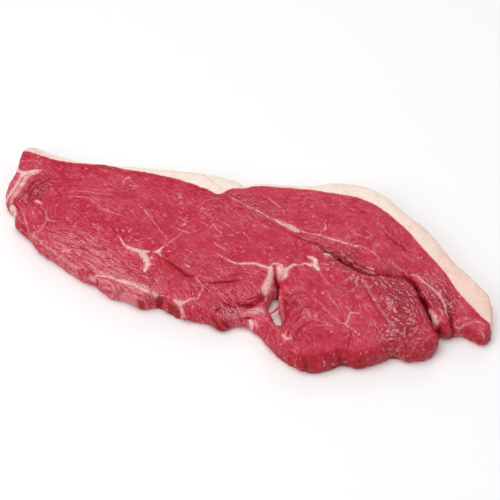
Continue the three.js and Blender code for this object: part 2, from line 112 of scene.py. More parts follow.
LINES = (
    Line("thin blunt-end arc", 0.6, ((-141, 68.5, 0.4), (-137.5, 70.5, 0.5), (-134, 70, 0.5),
         (-128, 70.5, 0.5), (-124.5, 68, 0.3))),
    Line("short thick", 0.95, ((-125.5, 38, 1.6), (-124, 37, 1.7), (-122.5, 35.5, 1.2))),
    Line("down from it", 0.65, ((-122.5, 33, 0.3), (-119.5, 29, 0.5), (-118.5, 24.5, 0.6),
         (-118.5, 21.5, 0.6), (-120, 17.5, 0.6), (-121, 14.5, 0.6), (-123.5, 12.5, 0.7),
         (-126.5, 12.5, 0.9))),
    Line("its branch", 0.75, ((-118.5, 23.5, 0.5), (-116, 20.5, 0.6), (-113, 20, 0.5))),
    Line("left run", 0.55, ((-134.5, 33.5, 0.3), (-132.5, 27, 0.5), (-131, 21.5, 0.5), (-128.5, 15, 0.6),
         (-125.5, 11, 0.8))),
    Line("left run 2", 0.45, ((-137.5, 29, 0.3), (-134.5, 23.5, 0.4), (-131.5, 20.5, 0.3))),
    Line("lower run", 0.55, ((-126, 12, 0.6), (-122, 7, 0.5), (-117.5, 2.5, 0.6), (-112.5, -1.5, 0.5),
         (-109, -4.5, 0.5), (-102.5, -10.5, 0.6), (-98.5, -13.5, 0.6), (-95, -15, 0.3))),
    Line("dash", 0.8, ((-107.5, -3, 0.5), (-105, -3, 0.6), (-102.5, -2.5, 0.5))),
    Line("whorl line", 0.55, ((-105.5, 40, 0.2), (-98.5, 39, 0.5), (-92, 36, 0.5), (-86.5, 30.5, 0.4),
         (-81.5, 26.5, 0.4), (-74, 23.5, 0.3))),
    Line("upper dashes", 0.5, ((-105.5, 44, 0.3), (-97.5, 43.5, 0.5), (-89, 41.5, 0.5), (-80, 41, 0.3))),
    Line("top dash", 0.6, ((-88.5, 61.5, 0.3), (-86, 60.5, 0.5), (-83, 59, 0.4))),
    Line("top cluster", 0.7, ((-73.5, 49, 0.4), (-73, 52, 0.6), (-71, 55, 0.9), (-69.5, 54, 0.5))),
    Line("top dash 2", 0.6, ((-69.5, 48.5, 0.5), (-67, 47.5, 0.6), (-64, 48, 0.4))),
    Line("top dash 3", 0.5, ((-82.5, 54.5, 0.3), (-80, 52.5, 0.5), (-78, 50.5, 0.3))),
    Line("mid spur", 0.6, ((-63.5, 31.5, 0.2), (-62, 30, 0.4), (-60.5, 28.5, 0.8), (-59, 26, 1),
         (-57.5, 24, 0.4), (-51, 14, 0.3), (-46, 6, 0.2))),
    Line("fork arm", 1, ((-75, 7.5, 0.5), (-73.5, 5.5, 0.7), (-72, 2.5, 1), (-70, 0, 1.3),
         (-66.5, -2.5, 2.1), (-62.5, -4, 2.7), (-59, -4.5, 2.2), (-56.5, -4, 1))),
    Line("fork stem", 1, ((-62, -4.5, 2.4), (-59.5, -7, 3.3), (-58, -10, 3.6), (-57, -13, 3.6),
         (-57.8, -16, 3), (-58.3, -18, 1.7))),
    Line("fork node", 1, ((-53.5, -4.5, 0.5), (-51.5, -4, 1.8), (-49.5, -2.5, 1.3), (-48, 0, 0.8))),
    Line("fork node tail", 0.9, ((-51, -4.5, 1.6), (-49.8, -6.3, 0.9), (-49, -8, 0.4))),
    Line("beads to the right", 0.55, ((-46, 0.5, 0.3), (-44, 3, 0.5), (-41, 5.5, 0.5), (-38, 9, 0.4))),
    Line("beads up", 0.6, ((-48, 0.5, 0.3), (-46.5, 4.5, 0.6), (-46, 8, 0.4))),
    Line("upright", 0.5, ((-39, 42, 0.3), (-38, 36, 0.5), (-37, 30, 0.3))),
    Line("upright bar", 0.55, ((-40.5, 33, 0.4), (-38, 34, 0.5), (-34, 34, 0.3), (-30, 35.5, 0.5))),
    Line("hook", 0.75, ((-38.5, 22.5, 0.4), (-36, 20, 0.8), (-35, 18, 0.9), (-37, 16, 0.6))),
    Line("under hook", 0.6, ((-39.5, 13.5, 0.4), (-36, 11.5, 0.6), (-32.5, 10.5, 0.4))),
    Line("arc", 0.4, ((-27, 31.5, 0.2), (-24, 35, 0.4), (-19, 37.5, 0.4), (-14, 37.5, 0.2))),
    Line("zigzag", 0.65, ((-20, 15, 0.4), (-18, 17, 0.7), (-17, 13.5, 0.6), (-13, 8.5, 0.5),
         (-16.5, 7, 0.4))),
    Line("dash a", 0.6, ((-12, 18, 0.5), (-9, 15.5, 0.5))),
    Line("dash b", 0.6, ((1.5, 25, 0.4), (4.5, 21.5, 0.5))),
    Line("dash c", 0.55, ((10, 17.5, 0.4), (14.5, 14, 0.5))),
    Line("dash d", 0.7, ((-8.5, 8.5, 0.5), (-6.5, 8.5, 0.6), (-3.5, 11, 0.5))),
    Line("dash e", 0.7, ((-0.5, 10.5, 0.5), (1, 8.5, 0.6), (3, 6, 0.4))),
    Line("dash f", 0.5, ((-25.5, 18.5, 0.4), (-22, 16, 0.5))),
    Line("slant", 0.65, ((-17.5, 2.5, 0.4), (-15, 0, 0.5), (-10, -3.5, 0.5))),
    Line("main", 0.95, ((-16.5, -5, 0.3), (-12.5, -8.5, 0.5), (-8, -11, 0.8), (-4, -13, 1.2), (2, -13, 1.6),
         (6, -13, 1.5), (10.5, -15, 1.6), (14, -16.5, 1.9))),
    Line("right arm", 0.95, ((24, -18.5, 2), (27, -16, 1.9), (29, -14, 1.4), (32.5, -14.5, 1), (36, -13, 1),
         (39, -14, 1.8), (41, -14.5, 2.5), (43.5, -17.5, 1.2))),
    Line("thin tail of it", 0.4, ((43.5, -17.5, 0.5), (46, -23, 0.4), (49.5, -28.5, 0.3))),
    Line("seam", 1, ((-7.5, 38.5, 0.4), (0, 33.5, 0.4), (6.5, 29.5, 0.6), (12.5, 25, 0.6), (16.5, 22.5, 1),
         (21.5, 19.5, 1.8), (26, 16.5, 2.7), (30, 13.5, 3.4), (32, 12.5, 1.6))),
    Line("seam line", 0.9, ((29.5, 14.5, 0.9), (33, 13, 0.6), (39, 10.5, 0.5), (44.5, 9.5, 0.8),
         (48.5, 7.5, 0.9), (54, 5, 0.7), (60, 2.5, 0.8), (64.5, 0.5, 0.8), (69, 0, 0.6), (73.5, -2.5, 0.4),
         (77, -5.5, 0.4), (79.5, -9.5, 0.3))),
    Line("cap line", 0.4, ((62, 10, 0.3), (66, 12, 0.5), (69.5, 14.5, 0.3))),
    Line("cap dash", 0.7, ((65, 10, 0.4), (67, 8.5, 0.6), (69.5, 7.5, 0.4))),
    Line("cap dash 2", 0.75, ((72, 6, 0.5), (74, 6.5, 0.7), (75.5, 5.5, 0.5))),
    Line("cap dash 3", 0.5, ((72.5, 11, 0.4), (76, 8, 0.5))),
    Line("cap dash 4", 0.7, ((77, 0, 0.5), (79.5, 1.5, 0.6))),
    Line("cap left line", 0.6, ((14, 38.5, 0.3), (17, 35, 0.5), (20, 32, 0.5), (23, 29, 0.6),
         (23.5, 26, 0.5))),
    Line("cap lower dash", 0.5, ((85.5, -10, 0.4), (89, -13.5, 0.5), (94.5, -19, 0.4))),
    Line("lobe Y stem", 0.7, ((56, -59, 0.4), (59, -59, 1), (60, -55.5, 1), (61, -51.5, 1),
         (63.5, -51, 0.8), (66.5, -51.5, 0.4))),
    Line("lobe Y up", 0.6, ((59.5, -46.5, 0.5), (61, -49, 0.7), (62, -51, 0.6))),
    Line("lobe Y down", 0.6, ((58.5, -60, 1), (63, -63.5, 0.7), (66, -67, 0.4))),
    Line("lobe line 1", 0.5, ((40.5, -40, 0.3), (45, -46, 0.5), (50, -52.5, 0.4), (55.5, -59, 0.4))),
    Line("lobe line 2", 0.6, ((49, -38, 0.3), (52, -43, 0.5), (54.5, -48, 0.3))),
    Line("lobe line 3", 0.5, ((32.5, -43.5, 0.3), (37.5, -53, 0.3), (40, -55.5, 0.6), (43.5, -57, 0.6),
         (51, -61, 0.3))),
    Line("lobe line 4", 0.5, ((41.5, -60.5, 0.3), (46.5, -60.5, 0.5), (51, -61, 0.3))),
    Line("lobe diagonal", 0.45, ((68.5, -24, 0.3), (71.5, -31.5, 0.4), (74.5, -40.5, 0.6),
         (78.5, -48.5, 0.5), (81.5, -54.5, 0.4), (86, -59.5, 0.3))),
    Line("loop", 0.85, ((-29, -22.5, 0.5), (-27, -24.5, 0.6), (-24.5, -28.5, 0.6), (-24.5, -32.5, 0.6),
         (-26, -36, 0.8), (-27, -39, 0.9), (-31, -39.5, 0.9), (-34, -41.5, 1.4), (-37, -42, 1.9),
         (-40.5, -40, 1.2))),
    Line("blob", 0.8, ((-34.5, -13.5, 0.9), (-33, -15, 1))),
    Line("tail rim", 0.6, ((122.5, -57, 0.6), (128, -56.5, 0.9), (134, -54.5, 1.1), (137.5, -55.5, 0.6))),
    Line("tail spots", 0.5, ((136, -61, 0.6), (138, -63, 1))),
    Line("rind nick", -1, ((97, 12, 0.5), (99, 15, 0.5), (100, 18, 0.4))),
    Line("blunt-end tip", 0.95, ((-145.5, 39.5, 0.6), (-144.5, 43.5, 1), (-142.5, 43.5, 0.9))),
    Line("cap fleck", 0.6, ((48, 17, 0.6), (48.5, 14, 1), (47.5, 12, 0.6))),
    Line("gristle edge", 1.0, ((-145, 44.5, 0.5), (-140.5, 49, 0.7), (-137.5, 56, 0.7), (-135.5, 60, 0.4))),
    Line("membrane edge", 1.0, ((18, -29, 0.8), (17, -29.5, 1), (16, -31, 0.9), (14.5, -35, 0.7),
         (13, -37.5, 0.5))),
    Line("front ridge strand", 0.8, ((-71, -25.5, 0.5), (-66.5, -28, 0.9), (-62.5, -28.5, 0.7),
         (-58, -30.5, 0.9), (-54.5, -33.5, 0.7), (-47.5, -36, 0.5))),
    Line("tear edge bead", 0.7, ((20.5, -34, 1), (21, -38.5, 0.9), (21.5, -42.5, 0.7))),
)

VEILS = (
    Veil("blunt-end membrane", 0.8, ((-124.5, 63, 1.03), (-129, 61, 1.95), (-132.5, 58.5, 2.3),
         (-134.5, 54, 2.53), (-136.5, 49.5, 2.53), (-138.5, 44.5, 2.3), (-140.5, 40.5, 2.07),
         (-141.5, 37, 1.38))),
    Veil("blunt-end gristle", 1, ((-145, 45, 0.99), (-142.5, 43, 1.32), (-140, 47.5, 1.32),
         (-138.5, 52.5, 1.48), (-136.5, 57.5, 1.65), (-135, 60.5, 2.81), (-132, 61.5, 2.47),
         (-129.5, 62.5, 1.65), (-126, 63.5, 0.99))),
    Veil("blunt-end arm", 0.9, ((-139, 65.5, 1.17), (-138, 63, 1.56), (-136, 61, 1.82))),
    Veil("blunt-end fat", 1.22, ((-142, 37, 1.5), (-140.5, 35.5, 2.54), (-139.5, 33.5, 2.31),
         (-138, 30, 1.39))),
    Veil("front ridge", 0.92, ((-91, -18.5, 0.77), (-87, -20.5, 0.88), (-83, -22, 0.99), (-78, -24, 1.32),
         (-74.5, -26, 1.43), (-70.5, -27, 2.09), (-66.5, -28.5, 2.42), (-63.5, -30, 2.09),
         (-60.5, -32, 2.42), (-57.5, -33.5, 2.09), (-54.5, -34.5, 1.54), (-51.5, -35, 1.21))),
    Veil("front ridge glow", 0.36, ((-77.5, -21.5, 1.9), (-70.5, -23.5, 3.2), (-63.5, -26.5, 3.2),
         (-56.5, -30.5, 2.6), (-49, -34, 1.9))),
    Veil("lower run glow", 0.22, ((-119, 4, 0.9), (-114, 0, 1.3), (-108, -5, 1.4), (-103, -10, 1.5),
         (-98.5, -13.5, 1.7), (-94.5, -15, 1))),
    Veil("loop down", 0.85, ((-40.5, -40, 0.5), (-38, -42, 1), (-36.5, -44, 0.9), (-35.5, -45.5, 0.9),
         (-34.5, -46, 0.9))),
    Veil("strap", 0.92, ((15.5, -16.5, 2), (15.5, -19.5, 2.6), (15, -23, 3.1), (14, -26.5, 3.5),
         (12.5, -30.5, 3.6), (12, -33.5, 2.9))),
    Veil("membrane under the strap", 0.34, ((14.5, -33, 3.08), (14, -35, 2.97), (13.5, -36.5, 2.09),
         (13, -38, 0.99))),
    Veil("node", 0.95, ((21, -16.5, 3.48), (22.5, -19, 5.04), (23, -21.5, 4.2))),
    Veil("node top", 0.9, ((16.5, -14, 1.2), (19, -13.5, 1.68), (21.5, -15, 2.28))),
    Veil("right edge of the tear", 0.2, ((21.5, -36, 1.3), (21.5, -40, 1.3), (21.5, -43.5, 1.3),
         (22, -47, 1.2), (22.5, -50, 0.8))),
    Veil("below the tear", 0.72, ((22, -66, 1.3), (24, -69, 1.9), (26.5, -68.5, 1.2))),
    Veil("bridge roll", 0.68, ((-0.5, -49, 1.3), (1.5, -47, 2.6), (4.5, -46, 3.1), (7.5, -46, 3.1),
         (10, -46, 2.6), (11.5, -47, 1.9))),
    Veil("bridge streak", 0.26, ((10.5, -48, 2.2), (14.5, -52, 2.2), (18.5, -60, 1.9), (22.5, -66, 1.5))),
    Veil("cream nub", 1.12, ((3.5, -51, 1.37), (4, -52.5, 2.17), (4.5, -53.5, 1.71))),
    Veil("beside the nub", 0.6, ((6.5, -51.5, 0.9), (7.5, -54.5, 1.2))),
    Veil("pale shred", 0.42, ((-10.5, -46.5, 1.3), (-8.5, -49, 2.7), (-6.5, -49.5, 3.1), (-4.5, -50, 2.6))),
    Veil("strip ridge", 0.8, ((98, -22, 0.6), (101.5, -23.5, 1), (103, -26, 1.2), (105.5, -28, 1.2),
         (109, -30.5, 1.3), (112, -33.5, 1.5), (114, -36, 1.3), (115.5, -39.5, 1.3), (116.5, -42.5, 1.2),
         (117, -49, 1.2), (118.5, -52.5, 1))),
    Veil("strip lump", 0.9, ((107.5, -45.5, 1.2), (108.5, -49, 2.6), (109.5, -52, 3.2), (111, -54.5, 2.3))),
    Veil("strip lump loop", 0.55, ((112.5, -46.5, 0.9), (114.5, -49.5, 1.1), (113.5, -53.5, 1.3))),
    Veil("lip wedge", 1.15, ((47.5, -6, 0.9), (50, -6.5, 1.4), (53, -8.5, 0.7))),
    Veil("lip glow", 0.14, ((46, -6, 2), (53, -10.5, 2.5), (60, -16, 2.5), (67, -21.5, 2.5),
         (75, -25.5, 2.5), (84, -26, 2))),
    # Painted highlights: pale glints on the wet slope by the fissure.
    Veil("glint by the fissure 1", 0.8, ((67.5, -14, 0.7), (70, -15, 1.3), (73, -16.5, 1.5),
         (76.5, -17.5, 0.9))),
    Veil("glint by the fissure 2", 0.7, ((60.5, -6.5, 0.5), (62.5, -7.5, 0.9), (64, -8.5, 0.6))),
    Veil("glint by the fissure 3", 0.6, ((64, -10, 0.5), (66.5, -12, 0.9), (68, -13, 0.6))),
    Veil("glint by the fissure 4", 0.6, ((71.5, -13, 0.4), (74, -14.5, 0.8), (76.5, -15.5, 0.5))),
    Veil("glint by the fissure 5", 0.7, ((77.5, -18, 0.5), (79.5, -24, 0.9), (81.5, -24.5, 0.5))),
    Veil("tail glow", 0.34, ((122.5, -55, 1), (126.5, -54, 1.7), (130.5, -52.5, 1.9), (135, -54, 1.9),
         (138.5, -57, 1.3))),
    Veil("head of the right arm", 1, ((38, -8, 1.38), (40, -9, 1.93), (42, -11, 2.2), (42, -14, 2.2),
         (43.5, -17.5, 1.52))),
)

# Folds that run round the front lobe and its shoulder: how far each reaches, and its places.
LOBE_ARCS = (
    (0.9, ((22.5, -58.5, 0.19), (24.5, -48.5, 0.58), (29, -43.5, 0.58), (34.5, -39.5, 0.19))),
    (0.8, ((25.5, -62, 0.19), (28, -52.5, 0.49), (32.5, -47.5, 0.49), (37.5, -45, 0.19))),
    (0.8, ((25, -49.5, 0.3), (26, -48, 0.58), (27.5, -45, 0.78), (28.5, -42.5, 0.78), (30, -40, 0.58),
         (31.5, -38.5, 0.19))),
    (0.8, ((30, -51.5, 0.3), (31.5, -50.5, 0.68), (33, -49.5, 0.68), (33.5, -47.5, 0.68),
         (35.5, -46.5, 0.58), (38, -46.5, 0.19))),
    (0.8, ((30.5, -67.5, 0.3), (30.5, -65.5, 0.68), (31.5, -63, 0.78), (33.5, -61, 0.78), (35.5, -59, 0.68),
         (38, -57, 0.49), (39.5, -56, 0.19))),
    (0.7, ((32.5, -66, 0.19), (34.5, -65.5, 0.58), (37, -66.5, 0.58), (40, -65.5, 0.3))),
    (1.1, ((22.5, -38, 0.3), (24.5, -36, 0.68), (26, -34.5, 0.3))),
    (0.6, ((23.5, -42, 0.3), (25, -39.5, 0.5), (29, -36.5, 0.5), (33.5, -35, 0.2))),
    (0.6, ((24, -51, 0.3), (27, -48.5, 0.55), (31.5, -44, 0.4), (34.5, -42, 0.2))),
    (0.6, ((26.5, -62.5, 0.3), (28.5, -58, 0.55), (32.5, -53.5, 0.5), (38, -50.5, 0.2))),
    (0.6, ((29.5, -67, 0.3), (30.5, -62.5, 0.55), (34, -59.5, 0.5), (39.5, -58.5, 0.2))),
    (0.6, ((32, -72, 0.3), (33, -67.5, 0.5), (36, -64, 0.5), (40.5, -63, 0.2))),
    (0.6, ((25, -45, 0.3), (28.5, -41.5, 0.5), (32.5, -39, 0.5), (38, -37.5, 0.2))),
    (0.7, ((88.5, -73.5, 0.2), (92.5, -73.5, 0.5), (94.5, -68.5, 0.4), (94, -63.5, 0.2))),
    (0.7, ((86, -72.5, 0.2), (90, -71.5, 0.5), (91.5, -67.5, 0.4), (91, -63.5, 0.2))),
    (0.6, ((89, -73.5, 0.2), (91.5, -73, 0.5), (92.5, -70.5, 0.5), (91.5, -66.5, 0.2))),
    (0.6, ((91.5, -74.5, 0.2), (94.5, -74.5, 0.5), (95.5, -70.5, 0.5), (94.5, -65.5, 0.2))),
    (0.6, ((85.5, -73, 0.2), (87.5, -72, 0.4), (88.5, -69, 0.4), (88, -66, 0.2))),
    (0.6, ((80, -62, 0.2), (84, -59, 0.4), (88, -59, 0.4), (92, -61, 0.2))),
    (0.6, ((78, -55.5, 0.2), (83, -53, 0.4), (87.5, -53, 0.4), (92, -55, 0.2))),
)

FOLDS = (
    Fold("fissure", 3.8, 1.6, ((46.5, 1, 0.3), (50, -2, 0.8), (53, -4.5, 1.2), (56, -7, 1.6), (59, -9, 1.8),
         (62, -10.5, 2), (65, -12.5, 2), (68, -14.5, 2), (71, -16.5, 2), (74, -18, 1.8), (80, -19, 1.2),
         (86, -19.5, 0.8), (91, -20.5, 0.6))),
    Fold("edge of the lobe", 1.8, 5, ((90, -25, -0.3), (94, -27.5, -1), (97, -31.5, -1.8),
         (98.8, -37, -2.2), (100.5, -41, -2), (102.5, -44.5, -1.6), (103.8, -48.5, -1.2), (105.5, -53, -1),
         (106.5, -58, -0.6))),
    Fold("crevice behind the lobe", 1.7, 0.8, ((90, -20.5, 0.4), (93.5, -22, 0.8), (96.5, -24.5, 1.2),
         (98.5, -27.5, 1.6), (99.5, -31, 2.2), (101, -36, 3), (103, -39, 3.6), (105, -42.5, 3.4),
         (106, -46.5, 2.4), (107.5, -49.5, 2.4), (108.5, -58, 3.4), (110, -62.5, 3.8), (113, -58, 3.2))),
    Fold("notch beside the strip", 1.3, 1.3, ((118.5, -47.5, 0.8), (119.5, -51.5, 1.8), (120, -57, 2.4),
         (121.5, -58.5, 2.4))),
    Fold("crack in the cap", 1.1, 1.1, ((85, 7.5, 0.4), (88, 4.5, 0.8), (91.5, 0.5, 1.2), (94, -0.5, 0.9),
         (95, -3, 0.8), (97.5, -4.5, 0.4))),
    Fold("fold, first half", 0.7, 1.5, ((-49.5, -7.5, 0.4), (-44.5, -11.5, 1), (-41, -14, 1.2),
         (-37.5, -16.5, 1.8), (-36, -18, 0.8), (-34.5, -20, 1.5), (-32, -21, 0.8), (-29, -21.5, 0.3))),
    Fold("fold, second half", 0.7, 1.4, ((-24, -25.5, 0.5), (-19, -26.5, 0.9), (-13, -26, 1.1),
         (-8.5, -25.5, 1.2), (-4.5, -25, 0.8), (-0.5, -24, 0.3))),
    Fold("fold above it", 0.7, 1.2, ((-11, -22.5, 0.3), (-8, -21, 0.5), (-3.5, -20.5, 0.7),
         (0.5, -20.5, 0.3))),
    Fold("beside the fold", 0.8, 0.8, ((-22, -22, 0.2), (-18, -21.5, 0.4), (-13.5, -21, 0.2))),
    Fold("hollow", 2.2, 0.9, ((-5, -39.5, 0.4), (-2, -41, 1.2), (1.5, -41.5, 1.9), (4.5, -41.5, 1.7),
         (7.5, -40.5, 1.4), (10.5, -37.5, 1.1), (12, -35.5, 0.7))),
    Fold("second line in the hollow", 0.8, 0.8, ((-1, -38.5, 0.3), (3, -38.5, 0.8), (7, -37, 0.7),
         (10, -34.5, 0.3))),
    Fold("slot beside the strap", 1.2, 1.0, ((18.5, -21.5, 1.2), (19, -24, 2.6), (19.5, -27.5, 3),
         (19.5, -29, 2.4), (19.5, -30, 1.5))),
    Fold("line right of the tear", 0.7, 0.7, ((23, -36.5, 0.4), (23.5, -42, 0.8), (23.5, -47.5, 0.8),
         (23.5, -52.5, 0.4))),
    Fold("hole in the front wall", 1.8, 1.8, ((-47.5, -36.5, 1.2), (-49, -37, 2.4), (-50.5, -36.5, 2.2))),
    Fold("slit in the front wall", 0.9, 0.9, ((-63.5, -36, 0.3), (-60.5, -37.5, 1), (-58, -38, 0.6))),
    Fold("shred gap 1", 1, 1, ((-14.5, -39, 0.4), (-11.5, -40.5, 1), (-8, -42, 1.4), (-4.5, -42.5, 1))),
    Fold("shred gap 2", 1, 1, ((-19.5, -48.5, 0.5), (-17, -51.5, 1.3), (-14, -53.5, 1.3))),
    Fold("shred gap 3", 1, 1, ((-13.5, -51.5, 0.5), (-12, -53, 1.4), (-9.5, -52.5, 1.2))),
    Fold("shred gap 4", 0.9, 0.9, ((-17.5, -48.5, 0.4), (-15.5, -45.5, 1), (-13.5, -44, 0.6))),
    Fold("under the bridge", 1, 1, ((-1, -49.5, 0.8), (1.5, -49.5, 1.4), (4, -50, 0.8))),
    Fold("above the blunt-end fat", 1.1, 1.1, ((-141, 37.5, 0.5), (-139.5, 37, 1.2), (-137.5, 34.5, 1),
         (-135.5, 30, 0.5))),
    Fold("ragged stripe 1", 0.9, 0.9, ((-44.5, -39, 0.4), (-43, -40.5, 1), (-41.5, -41.5, 1.1))),
    Fold("ragged stripe 2", 0.9, 0.9, ((-42, -40, 0.4), (-40.5, -42.5, 1.2), (-38.5, -44, 1.2))),
    Fold("pit in the lobe wall 1", 1.5, 1.5, ((33.5, -81.5, 0.6), (35, -82.5, 1.4), (35.5, -83.5, 0.6))),
    Fold("pit in the lobe wall 2", 1.6, 1.6, ((53.5, -78.5, 0.5), (55, -79, 1.4), (56, -79, 0.6))),
    Fold("groove in the lobe", 1.0, 1.0, ((61.5, -64, 0.2), (60.5, -70, 0.7), (59, -75.5, 0.5))),
    Fold("bridge roll", 3, 3, ((0, -48, -0.4), (2.5, -46, -1.1), (7, -45.5, -1.2), (10.5, -46, -0.7))),
    Fold("strip ridge", 1.5, 1.5, ((98, -22, -0.1), (103, -26, -0.5), (109, -30.5, -0.7), (114, -36, -0.8),
         (116.5, -42.5, -0.7), (118.5, -52.5, -0.3))),
    Fold("strip lump", 2.6, 2.6, ((107.5, -45.5, -0.3), (109.5, -51.5, -1.3), (111.5, -55.5, -0.5))),
    Fold("strip bulb", 3, 3, ((113.5, -56, -0.3), (116.5, -58, -1.1), (117.5, -59, -0.4))),
    Fold("node", 3.2, 3.2, ((21, -16.5, -0.4), (22.5, -19.5, -0.9), (23, -21.5, -0.4))),
    Fold("thin line by the spur", 0.6, 0.6, ((-57.5, 30.5, 0.2), (-55, 26, 0.5), (-53.5, 22.5, 0.5),
         (-51, 13.5, 0.2))),
    Fold("coarse streak 1", 1.0, 1.0, ((-134.5, 39.5, 0.4), (-131.5, 48.5, 0.9), (-127.5, 55.5, 0.9),
         (-121, 59, 0.4))),
    Fold("coarse streak 2", 0.9, 0.9, ((-131.5, 40.5, 0.3), (-128, 49, 0.8), (-124, 54, 0.8),
         (-119, 56.5, 0.3))),
    Fold("coarse streak 3", 0.8, 0.8, ((-132.5, 35, 0.3), (-129, 39, 0.6), (-125, 46, 0.5),
         (-121.5, 51, 0.3))),
    Fold("beside the diagonal", 0.9, 0.9, ((66, -24.5, 0.3), (71, -36, 0.6), (76.5, -50, 0.6),
         (83, -59, 0.3))),
    Fold("lip under the seam", 0.7, 1.3, ((20.5, 15, 0.3), (27, 10, 0.6), (33, 7, 0.9), (37, 5, 0.9),
         (40.5, 3.5, 0.8), (43.5, 4, 0.6), (46, 2, 0.4))),
    Fold("cap pit", 1.6, 1.6, ((69.5, 28, 0.4), (71.5, 26.5, 1.2), (73, 25.5, 0.4))),
    Fold("rind slit 1", 0.6, 0.6, ((-130, 79, 0.5), (-127.5, 78, 0.7), (-124.5, 76.5, 0.5),
         (-121, 74.5, 0.3))),
    Fold("rind slit 2", 0.6, 0.6, ((98, 13, 0.3), (98.5, 14.5, 0.6), (99.5, 17.5, 0.3))),
    Fold("left eye line", 0.7, 0.7, ((-98.5, 33.5, 0.1), (-94, 31, 0.3), (-88.5, 25.5, 0.3),
         (-84, 19, 0.1))),
    *(Fold("arc of the lobe", reach, reach, route) for reach, route in LOBE_ARCS),
)

# How much paler (above 0) or darker the lean is than its middle colour: mostly its own tone, with painted
# sheen and painted shade in the patches marked so.
TONE_AND_PAINTED_LIGHT = (
    # Paler, partly the lean's own pink and partly painted sheen: the ridged band and its left end, and the
    # front edge below it.
    Patch((-76, -17), (38, 11), -38, 0.70),  # ridged band along the front of the main muscle
    Patch((-108, -3), (16, 11), -40, 0.58),
    Patch((-80, -30), (26, 5), -25, 0.62),  # front edge below that band
    Patch((-74, -33), (24, 6), -22, 0.70),
    Patch((-139, 54), (5, 11), -20, 0.45),  # corner cut off by the gristle
    Patch((-134.5, 52.5), (13, 2.6), 58, 0.60),  # pink membrane beside it
    Patch((-127, 48), (14, 7), 45, -0.30),  # coarse meat inside the blunt end
    Patch((-118, 24), (8, 14), 0, -0.20),
    Patch((-90, 64), (45, 5), -12, -0.34),  # just under the rind
    Patch((-20, 42), (30, 5), -18, -0.22),
    Patch((-25, -22), (26, 8), -15, -0.10),
    Patch((-60, 12), (20, 8), -20, -0.15),
    # Darker, partly the purple lean and partly painted shade: the slope into the fissure, the rolled shoulder
    # of the lobe and the crevice behind it.
    Patch((58, -9), (16, 6), -38, -0.62),  # slope into the fissure
    Patch((91, -44), (9, 26), 8, -0.60),  # rolled shoulder of the front lobe
    Patch((102, -45), (3.5, 18), 12, -0.60),
    Patch((111, -40), (8, 16), 20, -0.15),
    Patch((118.5, -40), (4, 8), 20, -0.60),
    # Painted shade on the low front wall of the lobe.
    Patch((60, -81), (55, 5), 0, -0.62),  # low front wall of the lobe
    Patch((30, -50), (10, 16), 0, 0.10),
    Patch((-6, -46), (12, 7), -20, 0.50),  # shreds left of the tear
    Patch((6, -52), (10, 7), 0, 0.30),  # bridge in front of the tear
    # Paler, partly the pale membrane and partly painted light that lifts the shade in the tear.
    Patch((13, -35), (2.6, 6), 10, 0.80),  # membrane below the strap
    Patch((110, -28), (8, 7), -30, 0.60),
    Patch((128, -50), (10, 9), 0, 0.15),
    Patch((-7, -33), (16, 7), -15, 0.16),
)

# How purple, wet and finely crinkled the lean is; painted glints are laid where it is purple.
PURPLE = (
    Patch((57, -9), (15, 6), -38, 1.0),
    Patch((90, -40), (10, 22), 10, 1.0),
    Patch((72, -28), (12, 6), -30, 0.7),
    Patch((87, -66), (13, 8), 20, 0.7),
    Patch((112, -38), (7, 16), 20, 0.6),
    Patch((118.5, -40), (4, 8), 20, 1.0),
    Patch((-127, 49), (12, 6), 45, 0.50),
    Patch((6, 33), (14, 4), -33, 0.3),
    Patch((-9, -46), (9, 6), -20, 0.8),
    Patch((60, -34), (8, 6), -30, 0.3),
    Patch((-30, -12), (8, 6), 0, 0.35),
)

# How deep the valleys between bundles of fibres are, in millimetres.
RIDGES = (
    Patch((-78, -14), (44, 13), -38, 0.48),
    Patch((-112, -2), (14, 12), -40, 0.15),
    Patch((-127, 48), (15, 8), 45, 0.38),
    Patch((6, 33), (16, 5), -33, 0.28),
    Patch((57, -9), (16, 7), -38, 0.30),
    Patch((88, -44), (12, 20), 8, 0.22),
    Patch((28, -50), (10, 18), 0, 0.42),
    Patch((92, -69), (10, 7), 20, 0.30),
    Patch((-3, -18), (16, 5), -8, 0.22),
    Patch((-18, 32), (14, 9), -30, 0.18),
    Patch((110, -29), (7, 6), -30, 0.42),
    Patch((112, -36), (9, 20), 20, 0.25),
    Patch((-7, -34), (18, 9), -15, 0.40),
    Patch((-45, -30), (20, 8), -25, 0.10),
)

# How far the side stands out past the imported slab's, in millimetres; below 0 it stands back.
STANDS_OUT = (
    Patch((144, -32), (5, 5), 0, 2.4),  # the squarish end of the rind
    Patch((145, -55), (4, 10), 0, -1.2),
    Patch((-142, 57), (4, 8), 20, 1.0),
    Patch((-145, 40), (4, 6), 0, -1.0),
    Patch((-3.5, 52), (1.6, 5), 0, 1.4),
    Patch((7, 49), (7, 5), 0, 0.6),
    Patch((50.5, 48), (4, 5), 0, 0.5),
)

# The part of the front side that is smooth, not tattered.
SMOOTH_SIDE = Patch((-74, -35), (26, 9), -22, 0.8)

# The border between the lean and the rind, from the blunt end to the pointed one; fat is on its left.
RIND = (
    (-140, 80), (-134.5, 78.5), (-127, 75.5), (-119, 72), (-111.5, 69.5), (-104, 67.5), (-93, 67),
    (-82.5, 66.5), (-75, 62.5), (-60, 59), (-45.5, 55), (-38, 52.5), (-23.5, 46), (-16, 41.5), (-9, 45.5),
    (-1.5, 46.5), (5.5, 48.5), (13, 48.5), (20.5, 47), (35, 46), (49, 43), (63.5, 40), (71, 37.5),
    (78, 33.5), (85, 27), (92, 19), (98.5, 10), (105, -0.5), (112, -10.5), (118.5, -21.5), (124.5, -34),
    (133.5, -46), (143, -56),
)

